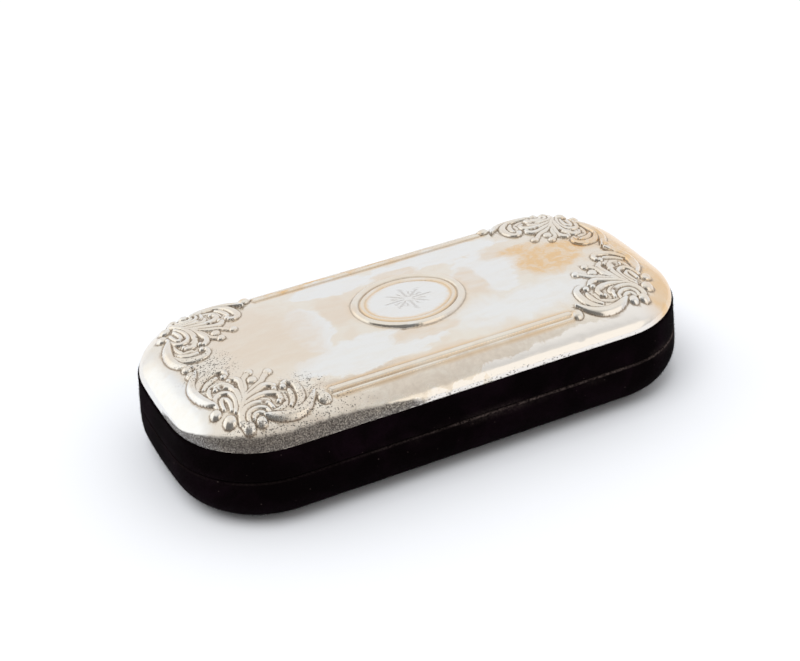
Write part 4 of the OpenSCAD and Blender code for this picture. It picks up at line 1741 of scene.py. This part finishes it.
@dataclass
class Inside:
    """Pads and hinge tape inside the case."""

    lid: Dome = field(default_factory=lambda: Dome(SHELLS))
    floor_z: float = 4.12
    roof_depth: float = 2.82
    tape: tuple[float, float, float] = (74.0, 0.35, 10.0)
    tape_low: tuple[float, float] = (35.36, 11.1)
    tape_steps: tuple[int, int] = (74, 28)

    def pads(self) -> None:
        """Makes the floor and the ceiling pad."""
        floor, roof = (Piece(*p) for p in (
            ("floor_pad", PAD_SATIN, Body.BASE, ("base_pad",)),
            ("ceiling_pad", PAD_SATIN, Body.LID, ("lid_pad",)),
        ))
        Pad(floor, 9.4, level(self.floor_z), 1).build()
        Pad(roof, 12.0, lambda x, y: self.lid.height(x, y, self.roof_depth), -1).build()

    def hinge_tape(self) -> Object:
        """Satin tape over the inside of the hinge."""
        length, thick, high = self.tape
        y0, z0 = self.tape_low
        bm = bmesh.new()
        bmesh.ops.create_grid(bm, x_segments=self.tape_steps[0], y_segments=self.tape_steps[1], size=0.5)
        place = places(bm)
        x, z = place[:, 0] * MM * length, z0 + (place[:, 1] * MM + 0.5) * high
        wave = 0.05 * ripple(np.column_stack([x, z]), 9, 81)
        move_to(bm, np.column_stack([x, y0 + thick * 0.3 + wave, z]))
        bmesh.ops.solidify(bm, geom=bm.faces[:], thickness=0.2 * MM)
        bmesh.ops.recalc_face_normals(bm, faces=bm.faces[:])
        tape = Piece("satin_hinge_tape", SATIN, None, ("hinge_tape",)).set_down(bm)
        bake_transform(tape)
        return tape


# Geometry nodes


class NodeShape(Wiring):
    """A Geometry Nodes tree that ends in Realize Instances and Set Material."""

    KINDS = {int: "Int", float: "Float", bpy.types.Material: "Material"}

    def __init__(self, name: str, inputs: dict[str, object]) -> None:
        """Starts the tree.

        Args:
            name: The tree's name.
            inputs: Its named inputs with their values.
        """
        super().__init__(bpy.data.node_groups.new(name, "GeometryNodeTree"))
        add = self.tree.interface.new_socket
        add("Geometry", in_out="INPUT", socket_type="NodeSocketGeometry")
        self.values = {}
        for key, value in inputs.items():
            kind = next(k for t, k in self.KINDS.items() if isinstance(value, t))
            self.values[add(key, in_out="INPUT", socket_type=f"NodeSocket{kind}").identifier] = value
        add("Geometry", in_out="OUTPUT", socket_type="NodeSocketGeometry")
        self.inputs = {s.socket.name: s for s in self.signals("NodeGroupInput")}

    def fill(self, obj: Object, geometry: Signal) -> Object:
        """Ends the tree, runs it on an object and leaves a plain mesh.

        Args:
            obj: The object that carries the tree.
            geometry: The geometry to put out.

        Returns:
            The object with its new mesh.
        """
        real = self.signals("GeometryNodeRealizeInstances", {0: geometry})[0]
        dressed = {"Geometry": real, "Material": self.inputs["Material"]}
        self.node("NodeGroupOutput", {0: self.signals("GeometryNodeSetMaterial", dressed)[0]})
        run = obj.modifiers.new(self.tree.name, "NODES")
        run.node_group = self.tree
        for key, value in self.values.items():
            run[key] = value
        bake(obj)
        return obj


@dataclass
class Pile:
    """Short fibres that stand on a velvet cover."""

    piece: Piece
    seed: int
    per_metre2: float = 1.6e6
    length: float = 0.45
    width: float = 0.035
    lean: float = 0.5
    foot_z: float = 0.6

    def build(self, cover: Object) -> Object:
        """Sows the fibres on a cover.

        Args:
            cover: The cover's piece.

        Returns:
            The fibres as one piece.
        """
        inputs = {
            "Density": self.per_metre2,
            "Length": self.length * MM,
            "Width": self.width * MM,
            "Lean": self.lean,
            "Seed": self.seed,
            "Material": self.piece.finish.material(),
        }
        w = NodeShape(self.piece.name, inputs)
        i = w.inputs
        height = w.axes(w.signals("GeometryNodeInputPosition")[0])[2]
        limit = {0: height, 1: self.foot_z * MM}
        side = w.signals("FunctionNodeCompare", limit, data_type="FLOAT", operation="GREATER_THAN")[0]
        sowing = {"Mesh": i["Geometry"], "Selection": side, "Density": i["Density"], "Seed": i["Seed"]}
        points, _, upright = w.signals("GeometryNodeDistributePointsOnFaces", sowing)[:3]
        cone = {"Vertices": 3, "Side Segments": 1, "Radius Top": 0.0, "Radius Bottom": i["Width"]}
        cone["Depth"] = i["Length"]
        fibre = w.signals("GeometryNodeMeshCone", cone, fill_type="NONE")[0]
        low, high = (
            w.signals("ShaderNodeCombineXYZ", {0: lean, 1: lean, 2: turn})[0]
            for lean, turn in ((i["Lean"] * -1.0, -3.15), (i["Lean"], 3.15))
        )
        tilt = w.signals("FunctionNodeRandomValue", {0: low, 1: high, "Seed": i["Seed"]}, data_type="FLOAT_VECTOR")
        tilt = w.signals("FunctionNodeEulerToRotation", {0: tilt[0]})[0]
        leaning = w.signals("FunctionNodeRotateRotation", {0: upright, 1: tilt}, rotation_space="LOCAL")[0]
        planting = {"Points": points, "Instance": fibre, "Rotation": leaning}
        planted = w.signals("GeometryNodeInstanceOnPoints", planting)[0]
        return self.piece.register(w.fill(link(self.piece.name, cover.data.copy()), planted))


@dataclass
class SpringHinge:
    """The torsion spring around the pin, and the finish of the hinge's steel parts."""

    pin_y: float = 40.3
    pin_z: float = 16.1
    coil_r: float = 1.1
    wire_r: float = 0.3
    half: float = 5.2
    turns: float = 9.5
    leg_y: float = 37.05
    sides: int = 10

    def leg(self, side: int) -> BMesh:
        """One straight leg of the spring, from the coil to its leaf.

        Args:
            side: -1 for the left leg, 1 for the right one.

        Returns:
            Its closed mesh.
        """
        angle = np.linspace(0, 2 * math.pi, self.sides, endpoint=False)
        x = side * self.half + self.wire_r * np.cos(angle)
        z = self.pin_z + side * self.coil_r + self.wire_r * np.sin(angle)
        leg = loft([np.column_stack([x, np.full(len(x), y), z]) for y in np.linspace(self.pin_y, self.leg_y, 6)])
        bmesh.ops.holes_fill(leg, edges=leg.edges[:])
        face_out(leg)
        return leg

    def spring(self) -> Object:
        """The spring as one wire: a leg to each leaf and the coil between them."""
        inputs = {
            "Coil Radius": self.coil_r * MM,
            "Turns": self.turns,
            "Length": 2 * self.half * MM,
            "Wire Radius": self.wire_r * MM,
            "Material": SPRING_STEEL.material(),
        }
        w = NodeShape("spring_wire", inputs)
        i = w.inputs
        winding = {"Resolution": 24, "Rotations": i["Turns"], "Height": i["Length"]}
        winding |= {"Start Radius": i["Coil Radius"], "End Radius": i["Coil Radius"]}
        coil = w.signals("GeometryNodeCurveSpiral", winding)[0]
        section = {"Resolution": self.sides, "Radius": i["Wire Radius"]}
        section = w.signals("GeometryNodeCurvePrimitiveCircle", section)[0]
        sweep = {"Curve": coil, "Profile Curve": section, "Fill Caps": True}
        name = "hinge_spring_wire"
        obj = w.fill(link(name, bpy.data.meshes.new(name)), w.signals("GeometryNodeCurveToMesh", sweep)[0])
        place = np.array([v.co[:] for v in obj.data.vertices]) / MM
        x, y, z = place[:, 2] - self.half, self.pin_y + place[:, 1], self.pin_z - place[:, 0]
        obj.data.vertices.foreach_set("co", (np.column_stack([x, y, z]) * MM).ravel())
        wire = bmesh.new()
        wire.from_mesh(obj.data)
        for side in (-1, 1):
            take(wire, as_mesh("leg", self.leg(side)))
        wire.to_mesh(obj.data)
        wire.free()
        smooth(obj.data)
        Piece(name, SPRING_STEEL, None, ("hinge_spring",)).register(obj)
        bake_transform(obj)
        return obj

    def dress(self) -> None:
        """Gives the steel CAD nodes and the filler their finishes."""
        finishes = {
            HINGE_STEEL: ("base_hinge_leaf", "lid_hinge_leaf", "hinge_pin", "base_rivets", "lid_rivets"),
            STEEL: ("base_shell", "lid_shell"),
            FILLER: ("plate_backing",),
        }
        for finish, nodes in finishes.items():
            for node in nodes:
                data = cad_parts[node].data
                data.materials.clear()
                data.materials.append(finish.material())
                log.info("%s dressed with %s", node, finish.name)


# Light, floor and camera


@dataclass(frozen=True)
class Zone:
    """A round, brighter or darker part of the surroundings, with its edge and core in degrees."""

    way: tuple[float, float, float]
    edge: float
    core: float
    share: float
    tone: Colour


@dataclass(frozen=True)
class Studio:
    """White floor, soft light from above and the camera of the photograph's view."""

    azimuth: float = -24.71
    elevation: float = 31.85
    roll: float = -3.46
    distance: float = 541.09
    shift_right: float = -4.53
    shift_up: float = 21.14
    focal_px: float = 1722.75
    image_w: float = 800.0
    sensor: float = 36.0
    sun_way: tuple[float, float] = (195.0, 70.0)
    sun_spread: float = 44.0
    sun_power: float = 1.13
    floor_tone: Colour = (0.895, 0.91, 0.945)
    backdrop: Colour = (0.975, 0.975, 0.985)
    low_tone: Colour = (0.965, 0.97, 0.99)
    high_tone: Colour = (0.995, 1.0, 1.0)
    zones: tuple[Zone, ...] = (
        Zone((0.0, -0.98, 0.2), 75, 25, 0.55, (0.02, 0.02, 0.02)),
        Zone((-0.85, -0.35, 0.4), 38, 22, 0.8, (0.04, 0.035, 0.03)),
        Zone((0.43, -0.80, 0.42), 34, 20, 1.0, (1.18, 1.14, 1.08)),
        Zone((-0.78, 0.57, 0.26), 42, 25, 1.0, (1.23, 1.23, 1.21)),
        Zone((-0.38, -0.82, 0.42), 33, 27, 0.92, (0.2, 0.2, 0.2)),
    )

    def camera(self) -> None:
        """Places the camera at the photograph's viewing angle."""
        az, el, roll = (math.radians(a) for a in (self.azimuth, self.elevation, self.roll))
        back = Vector((math.sin(az) * math.cos(el), -math.cos(az) * math.cos(el), math.sin(el)))
        level_right = Vector((math.cos(az), math.sin(az), 0))
        upright = back.cross(level_right)
        right = math.cos(roll) * level_right + math.sin(roll) * upright
        up = math.cos(roll) * upright - math.sin(roll) * level_right
        data = bpy.data.cameras.new("camera")
        data.sensor_width = self.sensor
        data.lens = self.focal_px * self.sensor / self.image_w
        data.clip_start, data.clip_end = 0.01, 20
        obj = link("camera", data)
        place = (back * self.distance + right * self.shift_right + up * self.shift_up) * MM
        obj.matrix_world = Matrix.Translation(place) @ Matrix((right, up, back)).transposed().to_4x4()
        bpy.context.scene.camera = obj

    def sun(self) -> None:
        """Adds wide, even light from above that polished metal does not mirror."""
        data = bpy.data.lights.new("above", "SUN")
        data.energy, data.angle = self.sun_power, math.radians(self.sun_spread)
        obj = link("above", data)
        azimuth, elevation = self.sun_way
        obj.rotation_euler = (0, math.radians(90 - elevation), math.radians(azimuth))
        obj.visible_glossy = False

    def floor(self) -> None:
        """Lays the white floor that keeps the shadow."""
        bm = bmesh.new()
        bmesh.ops.create_grid(bm, x_segments=2, y_segments=2, size=3)
        mesh = as_mesh("floor", bm)
        material = bpy.data.materials.new("floor_white")
        material.use_nodes = True
        material.node_tree.nodes.clear()
        w = Wiring(material.node_tree)
        w.node("ShaderNodeOutputMaterial", {0: w.signals("ShaderNodeBsdfDiffuse", {"Color": self.floor_tone})[0]})
        mesh.materials.append(material)
        link("floor", mesh)

    def world(self) -> None:
        """Sets up soft surroundings, white to the camera."""
        world = bpy.data.worlds.new("studio")
        world.use_nodes = True
        world.node_tree.nodes.clear()
        w = Wiring(world.node_tree)
        way = w.signals("ShaderNodeTexCoord")[0]
        tone = w.mix(w.between(w.axes(way)[2], 0.45, 1.0), self.low_tone, self.high_tone)
        for zone in self.zones:
            towards = w.signals("ShaderNodeVectorMath", {0: way, 1: zone.way}, operation="DOT_PRODUCT")[1]
            edge, core = (math.cos(math.radians(a)) for a in (zone.edge, zone.core))
            tone = w.mix(w.between(towards, edge, core, 0, zone.share), tone, zone.tone)
        tone = w.mix(w.signals("ShaderNodeLightPath")[0], tone, self.backdrop)
        light = w.signals("ShaderNodeBackground", {"Color": tone, "Strength": 1.0})[0]
        w.node("ShaderNodeOutputWorld", {0: light})
        bpy.context.scene.world = world

    def build(self) -> None:
        """Sets up camera, floor, surroundings and lamp."""
        self.camera()
        self.floor()
        self.world()
        self.sun()
        bpy.context.scene.view_settings.view_transform = "Standard"


def main() -> None:
    """Builds and dresses every piece in order."""
    logging.basicConfig(level=logging.INFO, format="%(name)s: %(message)s")
    Studio().build()
    base, lid, hinge = BaseLayers(), LidLayers(), SpringHinge()
    PressedPlate().build()
    base_cover, lid_cover = base.velvet(), lid.velvet()
    base.lining()
    base.wadding()
    lid.lining()
    lid.wadding()
    Inside().pads()
    Inside().hinge_tape()
    hinge.spring()
    hinge.dress()
    Pile(Piece("base_pile", VELVET, Body.BASE), 11).build(base_cover)
    Pile(Piece("lid_pile", VELVET, Body.LID), 12).build(lid_cover)


if __name__ == "__main__":
    main()
